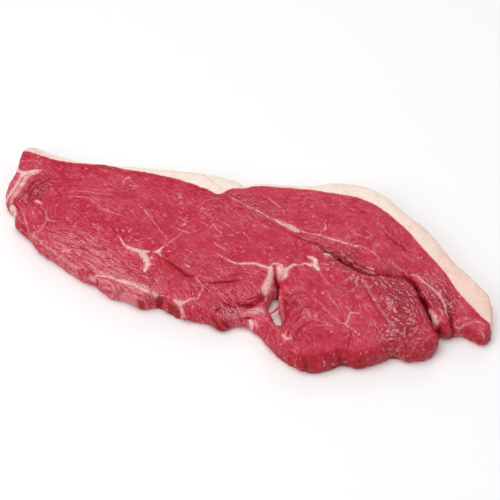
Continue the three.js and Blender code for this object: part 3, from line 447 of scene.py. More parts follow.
# The seam under the cap muscle and the fissure after it, past both edges; the cap is on its left.
SEAM = (
    (-30, 62), (-12.5, 44.5), (-4.5, 38), (3.5, 31.5), (10.5, 25.5), (21.5, 19.5), (31.5, 12.5),
    (40.5, 6.5), (49.5, -2), (61.5, -12.5), (74.5, -20.5), (86.5, -21.5), (93.5, -23.5), (98.5, -28.5),
    (101.5, -34.5), (104, -40.5), (106.5, -45.5), (108, -51.5), (114, -60), (124, -80),
)

# Round the front lobe, which has a grain of its own.
LOBE = (
    (40, 7), (49, -2), (61, -12), (74, -20), (86, -21), (98, -28), (104, -40), (108, -51), (114, -60),
    (112, -90), (10, -90), (10, -58), (19, -45), (19, -28), (24, -18), (30, -8),
)

# Below the folds in the middle, where the fibres turn down to the front edge.
LOW = (
    (-50, -8.5), (-38, -17), (-28.5, -22.5), (-23.5, -25.5), (-12, -25.5), (0, -24.5), (7, -28.5),
    (10.5, -35.5), (3.5, -40.5), (-2.5, -60.5), (-25.5, -62), (-55, -46), (-55, -29.5),
)

# Round the tear, whose inside is pale and thin.
TEAR = Patch((18, -36), (10, 18), 0, 1.0)

# The middle line, with heights, of the strand of meat across the tear.
STRAND = ((11.3, -43.3, 6), (15.6, -42.8, 5.2), (18.8, -40.9, 5.8), (22.3, -37.8, 7.5))


def total(patches: tuple[Patch, ...], plan: np.ndarray) -> np.ndarray:
    """The sum of some patches' amounts at each plan point."""
    return sum(patch.share(plan) for patch in patches)


# ---- Plan geometry ---------------------------------------------------------------------------------


def smooth_route(route: Route, steps: int = 4) -> np.ndarray:
    """Rounds the corners of a route of given points.

    Args:
        route: Points of two or three numbers each.
        steps: How many pieces replace each straight stretch.

    Returns:
        The points of a curve through the route, one row each.
    """
    points = np.array(route, float)
    ends = np.vstack((2 * points[0] - points[1], points, 2 * points[-1] - points[-2]))
    before, start, end, after = (ends[i : len(ends) - 3 + i] for i in range(4))
    curve = []
    for share in np.arange(steps) / steps:
        curve.append(
            0.5 * (2 * start + (end - before) * share
                   + (2 * before - 5 * start + 4 * end - after) * share**2
                   + (3 * start - before - 3 * end + after) * share**3)
        )
    rows = np.stack(curve, axis=1).reshape(-1, points.shape[1])
    return np.vstack((rows, points[-1]))


@dataclass
class Nearness:
    """The nearest place on a route: its distance, the side (left 1, right -1) and the value kept there."""

    distance: np.ndarray
    side: np.ndarray
    value: np.ndarray


def nearest(route: np.ndarray, plan: np.ndarray) -> Nearness:
    """Measures how far plan points are from a route.

    Args:
        route: Rows of X, Y and, where the route keeps one, a value.
        plan: X and Y of the points.

    Returns:
        The distance, side and value at each point.
    """
    values = route[:, 2] if route.shape[1] > 2 else np.zeros(len(route))
    best = Nearness(np.full(len(plan), np.inf), np.ones(len(plan)), np.zeros(len(plan)))
    for start, end, low, high in zip(route[:-1], route[1:], values[:-1], values[1:]):
        run, away = end[:2] - start[:2], plan - start[:2]
        share = np.clip(away @ run / max(run @ run, 1e-9), 0, 1)
        distance = np.hypot(*(away - share[:, None] * run).T)
        closer = distance < best.distance
        side = np.sign(run[0] * away[:, 1] - run[1] * away[:, 0] + 1e-12)
        best.distance[closer] = distance[closer]
        best.side[closer] = side[closer]
        best.value[closer] = (low + share * (high - low))[closer]
    return best


def is_inside(ring: tuple[tuple[float, float], ...], plan: np.ndarray) -> np.ndarray:
    """Tells which plan points lie inside a closed ring.

    Args:
        ring: The corners of the ring.
        plan: X and Y of the points.

    Returns:
        True for each point inside.
    """
    inside = np.zeros(len(plan), bool)
    x, y = plan.T
    for (ax, ay), (bx, by) in zip(ring, ring[1:] + ring[:1]):
        crosses = (ay > y) != (by > y)
        inside ^= crosses & (x < ax + (y - ay) * (bx - ax) / (by - ay + 1e-12))
    return inside


def noise_at(places: np.ndarray) -> np.ndarray:
    """Perlin noise, from about -1 to 1, at each row of three numbers."""
    return np.fromiter((noise.noise(place) for place in places.tolist()), float, len(places))


def smooth_largest(a: np.ndarray, b: np.ndarray, blend: float) -> np.ndarray:
    """The larger of two fields, rounded off over the blend where they meet."""
    meeting = np.clip(blend - np.abs(a - b), 0, None) / blend
    return np.maximum(a, b) + meeting**2 * blend / 4


@dataclass(frozen=True)
class Whorl:
    """A place that the fibres run round: its middle, its stretch behind and ahead, and its height."""

    at: tuple[float, float]
    stretch: tuple[float, float]
    height: float


@dataclass(frozen=True)
class Grain:
    """How the fibres of one muscle run: straight along a heading, and round its whorls."""

    heading: float
    whorls: tuple[Whorl, ...] = ()
    blend: float = 8
    square: float = 2  # above 2, the rounds of a whorl have straighter sides
    core: float = 0  # how far out a whorl's middle is smoothed

    def across(self, plan: np.ndarray) -> np.ndarray:
        """A distance that grows across the fibres and stays level along them.

        Args:
            plan: X and Y of the points.

        Returns:
            The distance at each point, in millimetres.
        """
        angle = math.radians(self.heading)
        along = np.array((math.cos(angle), math.sin(angle)))
        over = np.array((-math.sin(angle), math.cos(angle)))
        field = plan @ over
        for whorl in self.whorls:
            away = plan - np.array(whorl.at)
            run = away @ along
            run /= np.where(run < 0, *whorl.stretch)
            ends = np.abs(np.column_stack((run, away @ over)))
            radius = ((ends**self.square).sum(axis=1) + self.core**self.square) ** (1 / self.square)
            cone = np.array(whorl.at) @ over + whorl.height - radius
            field = smooth_largest(field, cone, self.blend)
        return field


MAIN_GRAIN = Grain(-36, (Whorl((-103.5, 25), (1.9, 7.0), 22),), square=2.4)
LOW_GRAIN = Grain(-54)
LOBE_GRAIN = Grain(-50, (Whorl((40, -66), (1.0, 5.0), 42), Whorl((84, -60), (5.0, 1.2), 24)), core=7)


# ---- Meshes by operator ----------------------------------------------------------------------------


class Pick(Enum):
    """What is picked in edit mode."""

    VERTICES = "VERT"
    EDGES = "EDGE"
    FACES = "FACE"


def deselect_all() -> None:
    """Leaves object mode's selection empty."""
    bpy.ops.object.select_all(action="DESELECT")


def take_up(piece: bpy.types.Object) -> None:
    """Makes a piece the only one selected, and the active one."""
    deselect_all()
    piece.select_set(True)
    bpy.context.view_layer.objects.active = piece


def pick(mesh: bpy.types.Mesh, kind: Pick, chosen: np.ndarray) -> None:
    """Selects some parts of the mesh that is being edited, and nothing else.

    Args:
        mesh: The mesh of the object in edit mode.
        kind: Whether vertices, edges or faces are picked.
        chosen: True for each part to select.
    """
    bpy.ops.mesh.select_mode(type=kind.value)
    bpy.ops.mesh.select_all(action="DESELECT")
    bpy.ops.object.mode_set(mode="OBJECT")
    parts = {Pick.VERTICES: mesh.vertices, Pick.EDGES: mesh.edges, Pick.FACES: mesh.polygons}[kind]
    parts.foreach_set("select", chosen)
    bpy.ops.object.mode_set(mode="EDIT")


def read(parts: bpy.types.bpy_prop_collection, name: str, width: int, kind: type = float) -> np.ndarray:
    """One property of every vertex, edge or face, as rows of an array."""
    values = np.empty(len(parts) * width, np.float32 if kind is float else np.int32)
    parts.foreach_get(name, values)
    return values.astype(kind).reshape(-1, width)


def places_of(mesh: bpy.types.Mesh) -> np.ndarray:
    """The vertices' places, in millimetres."""
    return read(mesh.vertices, "co", 3) / MM


def keep(mesh: bpy.types.Mesh, name: str, *columns: np.ndarray) -> None:
    """Keeps two or three numbers for each vertex under a name that the finish reads.

    Args:
        mesh: The mesh that keeps them.
        name: The attribute's name.
        columns: Two or three arrays.
    """
    rows = np.zeros((len(mesh.vertices), 3), np.float32)
    rows[:, : len(columns)] = np.column_stack(columns)
    mesh.attributes.new(name, "FLOAT_VECTOR", "POINT").data.foreach_set("vector", rows.ravel())


def faces_among(mesh: bpy.types.Mesh, chosen: np.ndarray) -> np.ndarray:
    """Finds the faces whose corners are all chosen; call it in object mode.

    Args:
        mesh: The mesh.
        chosen: True for each chosen vertex.

    Returns:
        True for each such face.
    """
    counts = read(mesh.polygons, "loop_total", 1, int)[:, 0]
    corners = chosen[read(mesh.loops, "vertex_index", 1, int)[:, 0]]
    starts = np.concatenate(([0], np.cumsum(counts)[:-1]))
    return np.logical_and.reduceat(corners, starts)


# ---- The meat --------------------------------------------------------------------------------------


@dataclass
class Steak:
    """The whole steak: lean, rind and everything in them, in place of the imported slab."""

    base_edge: float = 9.0  # the longest edge left in the base before all edges are cut
    flat: float = 0.01  # a vertex lower than this lies on the surface
    soften_rounds: int = 6
    strand_clear: float = 1.3  # round the strand's middle line, which isn't softened
    fold_deep: float = 0.75  # folds deeper than this get a finer mesh
    warp: float = 2.2  # how far the fibres wander sideways
    bundle: float = 2.7  # width of a bundle of fibres
    bundle_length: float = 24
    least_ridge: float = 0.05  # depth of the valleys in the smoothest lean
    valley: float = 0.17  # share of a bundle's width that is valley
    thread: float = 1.0  # width of the threads in a bundle
    thread_length: float = 6
    thread_depth: float = 0.07
    crinkle: float = 1.9  # size of the crinkles in the wet, purple lean
    crinkle_depth: float = 0.42
    lump: float = 9  # size of the lumps of the whole steak
    lump_depth: float = 0.32
    ragged: float = 3.4  # size of the tatters of the cut edge
    ragged_depth: float = 1.15
    nick: float = 1.5  # size of the nicks in them
    nick_depth: float = 0.40
    grit: float = 1.6  # size of the grains of the rind
    grit_depth: float = 0.12
    line_height: float = 0.22
    full_line: float = 1.2  # a line of fat at least this wide on each side stands at full height
    veil_height: float = 0.30
    rind_border: float = 0.8  # the lean turns to fat over this width
    rind_calm: float = 1.6  # the relief of the lean fades out over this distance from the rind
    steepness: float = 1.25  # how fast a slope turns from cut face to side
    fold_on_side: float = 0.6  # share of a fold that shows on the side
    crisp_reach: float = 1.8  # round a deep fold, where the mesh is finer
    far: float = 9.0  # lines and folds further away than this don't count

    def build(self) -> bpy.types.Object:
        """Makes the steak's mesh, carves it and notes what its finish needs.

        Returns:
            The steak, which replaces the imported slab.
        """
        piece = self._copy_of_slab()
        self._refine_base(piece.data)
        self._refine(piece.data)
        self._soften(piece.data)
        self._refine_folds(piece.data)
        bpy.ops.object.mode_set(mode="OBJECT")
        self._carve(piece.data)
        for polygon in piece.data.polygons:
            polygon.use_smooth = True
        return piece

    def _copy_of_slab(self) -> bpy.types.Object:
        """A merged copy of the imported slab, left in edit mode."""
        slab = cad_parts[NODE]
        piece = bpy.data.objects.new("steak", slab.data.copy())
        bpy.context.scene.collection.objects.link(piece)
        piece.data.materials.clear()
        take_up(piece)
        bpy.ops.mesh.customdata_custom_splitnormals_clear()
        bpy.ops.object.mode_set(mode="EDIT")
        bpy.ops.mesh.select_all(action="SELECT")
        bpy.ops.mesh.remove_doubles(threshold=1e-6)
        return piece

    def _is_base(self, mesh: bpy.types.Mesh) -> np.ndarray:
        """True for each face that lies on the surface; call it in object mode."""
        return faces_among(mesh, places_of(mesh)[:, 2] < self.flat)

    def _refine_base(self, mesh: bpy.types.Mesh) -> None:
        """Cuts the long thin triangles of the base until they are small and even."""
        while True:
            bpy.ops.object.mode_set(mode="OBJECT")
            places = places_of(mesh)
            ends = read(mesh.edges, "vertices", 2, int)
            length = np.linalg.norm(places[ends[:, 0]] - places[ends[:, 1]], axis=1)
            low = (places[ends][:, :, 2] < self.flat).all(axis=1)
            long = low & (length > self.base_edge)
            bpy.ops.object.mode_set(mode="EDIT")
            if not long.any():
                return
            pick(mesh, Pick.EDGES, long)
            bpy.ops.mesh.subdivide(number_cuts=1)
            bpy.ops.object.mode_set(mode="OBJECT")
            base = self._is_base(mesh)
            bpy.ops.object.mode_set(mode="EDIT")
            pick(mesh, Pick.FACES, base)
            bpy.ops.mesh.quads_convert_to_tris()
            bpy.ops.mesh.beautify_fill()

    def _refine(self, mesh: bpy.types.Mesh) -> None:
        """Cuts every edge in two, then again off the base, and leaves triangles."""
        bpy.ops.mesh.select_all(action="SELECT")
        bpy.ops.mesh.subdivide(number_cuts=1)
        bpy.ops.object.mode_set(mode="OBJECT")
        base = self._is_base(mesh)
        bpy.ops.object.mode_set(mode="EDIT")
        pick(mesh, Pick.FACES, ~base)
        bpy.ops.mesh.subdivide(number_cuts=1)
        bpy.ops.mesh.select_all(action="SELECT")
        bpy.ops.mesh.quads_convert_to_tris()

    def _soften(self, mesh: bpy.types.Mesh) -> None:
        """Rounds off the facets of the slab above its base and away from the thin strand."""
        bpy.ops.object.mode_set(mode="OBJECT")
        places = places_of(mesh)
        strand = smooth_route(STRAND)
        gaps = np.linalg.norm(places[:, None, :] - strand[None, :, :], axis=2).min(axis=1)
        bpy.ops.object.mode_set(mode="EDIT")
        pick(mesh, Pick.VERTICES, (places[:, 2] > self.flat) & (gaps > self.strand_clear))
        bpy.ops.mesh.vertices_smooth(factor=0.5, repeat=self.soften_rounds)

    def _refine_folds(self, mesh: bpy.types.Mesh) -> None:
        """Cuts the edges round the deep folds once more, so that those stay crisp."""
        bpy.ops.object.mode_set(mode="OBJECT")
        places = places_of(mesh)
        near = np.zeros(len(places), bool)
        for fold in FOLDS:
            found = nearest(smooth_route(fold.route), places[:, :2])
            reach = np.minimum(np.where(found.side > 0, fold.left, fold.right), self.crisp_reach)
            near |= (found.distance < reach) & (found.value > self.fold_deep)
        chosen = faces_among(mesh, near & (places[:, 2] > self.flat))
        bpy.ops.object.mode_set(mode="EDIT")
        pick(mesh, Pick.FACES, chosen)
        bpy.ops.mesh.subdivide(number_cuts=1)
        bpy.ops.mesh.select_all(action="SELECT")
        bpy.ops.mesh.quads_convert_to_tris()

    def _grain(self, plan: np.ndarray, rind: np.ndarray) -> np.ndarray:
        """How far across the fibres each point lies, muscle by muscle.

        Args:
            plan: X and Y of the points.
            rind: How far inside the rind's fat they are; below 0 in the lean.

        Returns:
            The distance across the fibres, in millimetres.
        """
        across = MAIN_GRAIN.across(plan)
        seam = nearest(smooth_route(SEAM), plan)
        cap = seam.side > 0
        across[cap] = rind[cap]
        lobe = is_inside(LOBE, plan) & ~cap
        across[lobe] = LOBE_GRAIN.across(plan[lobe])
        low = is_inside(LOW, plan) & ~cap & ~lobe
        across[low] = LOW_GRAIN.across(plan[low])
        wander = noise_at(np.column_stack((plan / 21, np.full(len(plan), 4.2))))
        ripple = noise_at(np.column_stack((plan / 6.5, np.full(len(plan), 8.1))))
        return across + self.warp * (wander * (1 + 0.6 * lobe) + 0.16 * ripple)

    def _carve(self, mesh: bpy.types.Mesh) -> None:
        """Moves the vertices into the relief of raw meat, and keeps what the finish reads there.

        Fibres, folds and tatters follow the muscles, which no operator can do, so they are worked out
        for each vertex.
        """
        places = places_of(mesh)
        normals = read(mesh.vertices, "normal", 3)
        lowest, highest = places.min(axis=0), places.max(axis=0)
        plan, lifted = places[:, :2], places[:, 2] > self.flat
        top = np.clip(normals[:, 2], 0, 1)
        wall = 1 - np.clip(np.abs(normals[:, 2]) * self.steepness, 0, 1)

        border = nearest(smooth_route(RIND), plan)
        rind = border.distance * border.side
        in_fat = np.clip(rind / self.rind_border + 0.5, 0, 1)
        lean = np.clip(-rind / self.rind_calm, 0, 1)
        across = self._grain(plan, rind)
        tone, purple = total(TONE_AND_PAINTED_LIGHT, plan), np.clip(total(PURPLE, plan), 0, 1)
        ridges = self.least_ridge + total(RIDGES, plan)
        carved, raised, core, core_depth = self._folds(plan)
        side, distance, half, pale = self._lines(plan)
        veil, veil_across = self._veils(plan)

        bundles = noise_at(np.column_stack((across / self.bundle, plan / self.bundle_length)))
        valleys = np.exp(-((bundles / self.valley) ** 2))
        threads = noise_at(np.column_stack((across / self.thread, plan / self.thread_length)))
        crinkles = np.abs(noise_at(places / self.crinkle + noise_at(places / 4)[:, None]))
        lumps = noise_at(places / self.lump)
        tatters = self.ragged_depth * noise_at(places / self.ragged + 7)
        nicks = self.nick_depth * noise_at(places / self.nick)
        grit = noise_at(places / self.grit + 3)
        bead = np.clip(half / self.full_line, 0, 1) * np.clip((half - distance) / 0.5 + 0.6, 0, 1) * pale
        bead = np.maximum(self.line_height * bead, self.veil_height * np.clip(veil, 0, 1))

        relief = top * bead - lean * top * ridges * valleys
        relief += lean * top * self.thread_depth * (1 + 4 * ridges) * threads
        relief -= lean * top * purple * self.crinkle_depth * (1 - 2.2 * crinkles)
        relief += self.lump_depth * lumps * (0.4 + 0.6 * lean)
        relief += wall * (tatters + nicks) * (0.62 + 0.38 * lean) * (1 - SMOOTH_SIDE.share(plan))
        relief += top * in_fat * self.grit_depth * grit
        relief -= np.maximum(top, self.fold_on_side * wall) * (carved + raised)
        relief += (1 - normals[:, 2] ** 2) * total(STANDS_OUT, plan)
        places[lifted] += (relief[:, None] * normals)[lifted]
        places = np.clip(places, lowest, highest)
        places[~lifted, 2] = 0
        mesh.vertices.foreach_set("co", (places * MM).astype(np.float32).ravel())
        mesh.update()

        keep(mesh, "line", side * distance, distance, half)
        # The tone kept here carries painted sheen and painted shade as well as the lean's own tone.
        keep(mesh, "look", pale, tone, purple)
        keep(mesh, "form", bundles, wall, rind)
        keep(mesh, "carved", ridges, carved, across)
        keep(mesh, "veil", veil, veil_across, TEAR.share(plan))
        # Where the nearest fold's bottom lies and how deep it is; the finish paints shade along it.
        keep(mesh, "crack", core, core_depth)

    def _folds(self, plan: np.ndarray) -> tuple[np.ndarray, ...]:
        """Adds up the folds, cracks and rolls.

        Args:
            plan: X and Y of the points.

        Returns:
            How deep each point is carved, how far it is raised, as a number below 0, the signed distance
            from the bottom of the nearest fold and the depth there.
        """
        carved, raised, depth = (np.zeros(len(plan)) for _ in range(3))
        core = np.full(len(plan), self.far)
        for fold in FOLDS:
            near = nearest(smooth_route(fold.route), plan)
            reach = np.where(near.side > 0, fold.left, fold.right)
            inward = np.clip(1 - near.distance / reach, 0, 1)
            carved = np.maximum(carved, near.value * inward**1.3)
            raised = np.minimum(raised, near.value * inward**2 * (3 - 2 * inward))
            closer = (near.distance < np.abs(core)) & (near.value > 0.1)
            core[closer], depth[closer] = (near.side * near.distance)[closer], near.value[closer]
        return carved, raised, core, depth

    def _veils(self, plan: np.ndarray) -> tuple[np.ndarray, ...]:
        """Finds the membrane or fat that covers each point.

        Args:
            plan: X and Y of the points.

        Returns:
            How thick it is, and how far across its band the point lies.
        """
        thick, across = np.zeros(len(plan)), np.zeros(len(plan))
        for veil in VEILS:
            near = nearest(smooth_route(veil.route), plan)
            inward = np.clip(1.25 * (1 - near.distance / np.maximum(near.value, 0.1)), 0, 1)
            covers = veil.amount * inward**1.5 * (2.5 - 1.5 * inward)
            more = covers > thick
            thick[more], across[more] = covers[more], (near.side * near.distance)[more]
        return thick, across

    def _lines(self, plan: np.ndarray) -> tuple[np.ndarray, ...]:
        """Finds the line of fat that matters at each point.

        Args:
            plan: X and Y of the points.

        Returns:
            The side of the line, the distance from it, its half width and how pale it is.
        """
        side, distance = np.ones(len(plan)), np.full(len(plan), self.far)
        half, pale = np.zeros(len(plan)), np.zeros(len(plan))
        outside = np.full(len(plan), self.far)
        for line in LINES:
            near = nearest(smooth_route(line.route), plan)
            gap = near.distance - near.value / 2
            closer = gap < outside
            outside[closer] = gap[closer]
            side[closer], distance[closer] = near.side[closer], near.distance[closer]
            half[closer], pale[closer] = near.value[closer] / 2, line.pale
        return side, np.minimum(distance, self.far), half, pale


# ---- Finishes --------------------------------------------------------------------------------------


@dataclass(frozen=True)
class Value:
    """A number, vector or colour in a node tree; arithmetic on it adds nodes."""

    tree: "Tree"
    socket: Socket

    def __add__(self, other: "Value | float") -> "Value":
        """The sum."""
        return self.tree.math("ADD", self, other)

    def __sub__(self, other: "Value | float") -> "Value":
        """The difference."""
        return self.tree.math("SUBTRACT", self, other)

    def __mul__(self, other: "Value | float") -> "Value":
        """The product."""
        return self.tree.math("MULTIPLY", self, other)

    def __truediv__(self, other: "Value | float") -> "Value":
        """The quotient."""
        return self.tree.math("DIVIDE", self, other)

    def __abs__(self) -> "Value":
        """The number without its sign."""
        return self.tree.math("ABSOLUTE", self)

    def held(self) -> "Value":
        """The number held between 0 and 1."""
        return self.tree.add("ShaderNodeClamp", (self,))

    def remap(self, low: float, high: float, start: float = 0, end: float = 1) -> "Value":
        """The number moved smoothly from one range to another, and held inside it."""
        inputs = (self, low, high, start, end)
        return self.tree.add("ShaderNodeMapRange", inputs, interpolation_type="SMOOTHSTEP")


class Tree:
    """Adds nodes to a material or a node group and joins them, so that it reads like a formula."""

    def __init__(self, tree: bpy.types.NodeTree) -> None:
        """Starts with an empty node tree."""
        self.tree = tree
        tree.nodes.clear()

    def node(self, kind: str, **settings: object) -> bpy.types.Node:
        """A new node of a kind, with its settings."""
        made = self.tree.nodes.new(kind)
        for name, value in settings.items():
            setattr(made, name, value)
        return made

    def feed(self, socket: Socket, value: object) -> None:
        """Joins a value to an input, or sets a number, vector or colour on it."""
        if isinstance(value, Value):
            self.tree.links.new(value.socket, socket)
        else:
            socket.default_value = value

    def add(self, kind: str, inputs: tuple[object, ...], **settings: object) -> Value:
        """The first output of a new node that is fed in order."""
        made = self.node(kind, **settings)
        for socket, value in zip(made.inputs, inputs):
            self.feed(socket, value)
        return Value(self, made.outputs[0])

    def math(self, operation: str, *values: "Value | float") -> Value:
        """One step of arithmetic on numbers."""
        return self.add("ShaderNodeMath", values, operation=operation)

    def mix(self, share: Value, first: object, second: object) -> Value:
        """A colour between two others."""
        made = self.node("ShaderNodeMix", data_type="RGBA", clamp_factor=True)
        for index, value in ((0, share), (6, first), (7, second)):
            self.feed(made.inputs[index], value)
        return Value(self, made.outputs[2])

    def noise(self, places: Value, scale: "Value | float", detail: float = 2, rough: float = 0.5) -> Value:
        """Noise from 0 to 1 at some places."""
        made = self.node("ShaderNodeTexNoise")
        for name, value in (("Vector", places), ("Scale", scale), ("Detail", detail), ("Roughness", rough)):
            self.feed(made.inputs[name], value)
        return Value(self, made.outputs["Fac"])

    def uneven(self, places: Value, scale: "Value | float", detail: float = 2, rough: float = 0.5) -> Value:
        """Noise that is about 0 on average."""
        return self.noise(places, scale, detail, rough) - 0.5

    def join(self, x: "Value | float", y: "Value | float", z: "Value | float") -> Value:
        """Three numbers as a vector."""
        return self.add("ShaderNodeCombineXYZ", (x, y, z))

    def parts(self, vector: Value) -> tuple[Value, Value, Value]:
        """A vector's three numbers."""
        made = self.node("ShaderNodeSeparateXYZ")
        self.feed(made.inputs[0], vector)
        return tuple(Value(self, socket) for socket in made.outputs)

    def kept(self, name: str) -> tuple[Value, Value, Value]:
        """The three numbers that the mesh keeps under a name."""
        made = self.node("ShaderNodeAttribute", attribute_name=name, attribute_type="GEOMETRY")
        return self.parts(Value(self, made.outputs["Vector"]))

    def place(self) -> Value:
        """The place on the piece, in millimetres."""
        place = Value(self, self.node("ShaderNodeTexCoord").outputs["Object"])
        made = self.node("ShaderNodeVectorMath", operation="SCALE")
        self.feed(made.inputs[0], place)
        self.feed(made.inputs["Scale"], 1 / MM)
        return Value(self, made.outputs[0])

    def use(self, group: bpy.types.NodeTree, **values: "Value | float") -> dict[str, Value]:
        """Places a node group, with values for its named inputs, and finds its outputs by name."""
        made = self.node("ShaderNodeGroup", node_tree=group)
        for name, value in values.items():
            self.feed(made.inputs[name.capitalize()], value)
        return {socket.name: Value(self, socket) for socket in made.outputs}


def new_group(
    name: str, inputs: dict[str, float], outputs: tuple[str, ...]
) -> tuple[Tree, dict[str, Value], dict[str, Socket]]:
    """Starts a shader node group of numbers.

    Args:
        name: The group's name.
        inputs: The named inputs and their usual values.
        outputs: The named outputs.

    Returns:
        The group's tree, its inputs as values and its outputs as sockets to feed.
    """
    group = bpy.data.node_groups.new(name, "ShaderNodeTree")
    for label, usual in inputs.items():
        socket = group.interface.new_socket(label, in_out="INPUT", socket_type="NodeSocketFloat")
        socket.default_value = usual
    for label in outputs:
        group.interface.new_socket(label, in_out="OUTPUT", socket_type="NodeSocketFloat")
    tree = Tree(group)
    source, sink = tree.node("NodeGroupInput"), tree.node("NodeGroupOutput")
    given = {label: Value(tree, source.outputs[label]) for label in inputs}
    return tree, given, {label: sink.inputs[label] for label in outputs}


def fibre_group() -> bpy.types.NodeTree:
    """Threads, long thin lines and short pale flecks that run along the grain."""
    usual = {"Grain": 0.0, "Width": 0.9, "Length": 5.0, "Share": 0.35}
    tree, given, out = new_group("fibres", usual, ("Thread", "Line", "Fleck"))
    place, length = tree.place(), given["Length"]
    x, y, z = tree.parts(place)
    over = (tree.uneven(place, 0.21, 1) * 1.6 + given["Grain"]) / given["Width"]
    places = tree.join(over, x / length, (y + z) / length)
    tree.feed(out["Thread"], tree.noise(places, 1, 2, 0.55))
    tree.feed(out["Line"], abs(tree.uneven(places, 0.8, 0)).remap(0.045, 0.008))

    cells = tree.node("ShaderNodeTexVoronoi", feature="F1", distance="EUCLIDEAN")
    for name, value in (("Vector", places), ("Scale", 0.62), ("Randomness", 1.0)):
        tree.feed(cells.inputs[name], value)
    draw, pale, _ = tree.parts(Value(tree, cells.outputs["Color"]))
    drawn = tree.math("LESS_THAN", draw, given["Share"])
    body = Value(tree, cells.outputs["Distance"]).remap(0.38, 0.18) * drawn
    tree.feed(out["Fleck"], body * (pale * 0.7 + 0.3))
    return tree.tree


def mottle_group() -> bpy.types.NodeTree:
    """Broad and small uneven patches, each about 0 on average."""
    tree, given, out = new_group("mottle", {"Broad": 14.0, "Small": 3.0}, ("Broad", "Small"))
    place = tree.place()
    for label, size in given.items():
        tree.feed(out[label], tree.uneven(place, tree.math("DIVIDE", 1.0, size)))
    return tree.tree


def marbling_group() -> bpy.types.NodeTree:
    """The masks of the lines of fat and of the pink glow round them, from what the mesh keeps."""
    tree, given, out = new_group("marbling", {"Wobble": 1.15, "Soft": 0.34}, ("Mask", "Glow"))
    place = tree.place()
    side, distance, half = tree.kept("line")
    side += tree.uneven(place, 0.33) * 1.4
    thick = half.remap(0.35, 0.8)
    gaps = tree.noise(place, 0.55).remap(0.36, 0.58, 0.05, 1.1)
    gaps = tree.math("MAXIMUM", gaps, thick * 0.66)
    edge = half * gaps + tree.uneven(place, 0.9, 3, 0.6) * given["Wobble"]
    crisp = ((edge - abs(side)) / given["Soft"] + 0.5).held()
    close = ((half + 0.75 - distance) * 4.0).held()
    there = tree.math("GREATER_THAN", half, 0.02)
    tree.feed(out["Mask"], crisp * close * there)
    halo = (distance - half).remap(1.3, -0.1) * (thick * 0.6 + 0.3)
    tree.feed(out["Glow"], halo * there)
    return tree.tree


class MeatTree(Tree):
    """The raw beef's node tree, with what the mesh keeps and how the fibres look at each place."""

    def __init__(self, tree: bpy.types.NodeTree) -> None:
        """Reads what the mesh keeps, and lays threads and flecks along its grain."""
        super().__init__(tree)
        self.at = self.place()
        self.x, self.y, _ = self.parts(self.at)
        self.pale, self.tone, self.purple = self.kept("look")
        self.bundles, self.wall, self.rind = self.kept("form")
        self.ridge, self.crease, self.grain = self.kept("carved")
        self.veil, self.veil_across, self.in_tear = self.kept("veil")
        self.core, self.core_depth, _ = self.kept("crack")
        self.rugged = (self.ridge * 2.6).held()
        self.fatty = self.noise(self.at, 1.1, 3, 0.65)
        fibres, slant = fibre_group(), self.y * 0.67 - self.x * 0.74
        self.fine = self.use(fibres, grain=self.grain, width=0.66, length=4.6)
        self.coarse = self.use(fibres, grain=self.grain, width=1.9, length=20.0)
        self.short = self.use(fibres, grain=self.grain, width=0.47, length=2.6, share=0.25)
        self.cross = self.use(fibres, grain=slant, width=0.55, length=2.6, share=0.12)


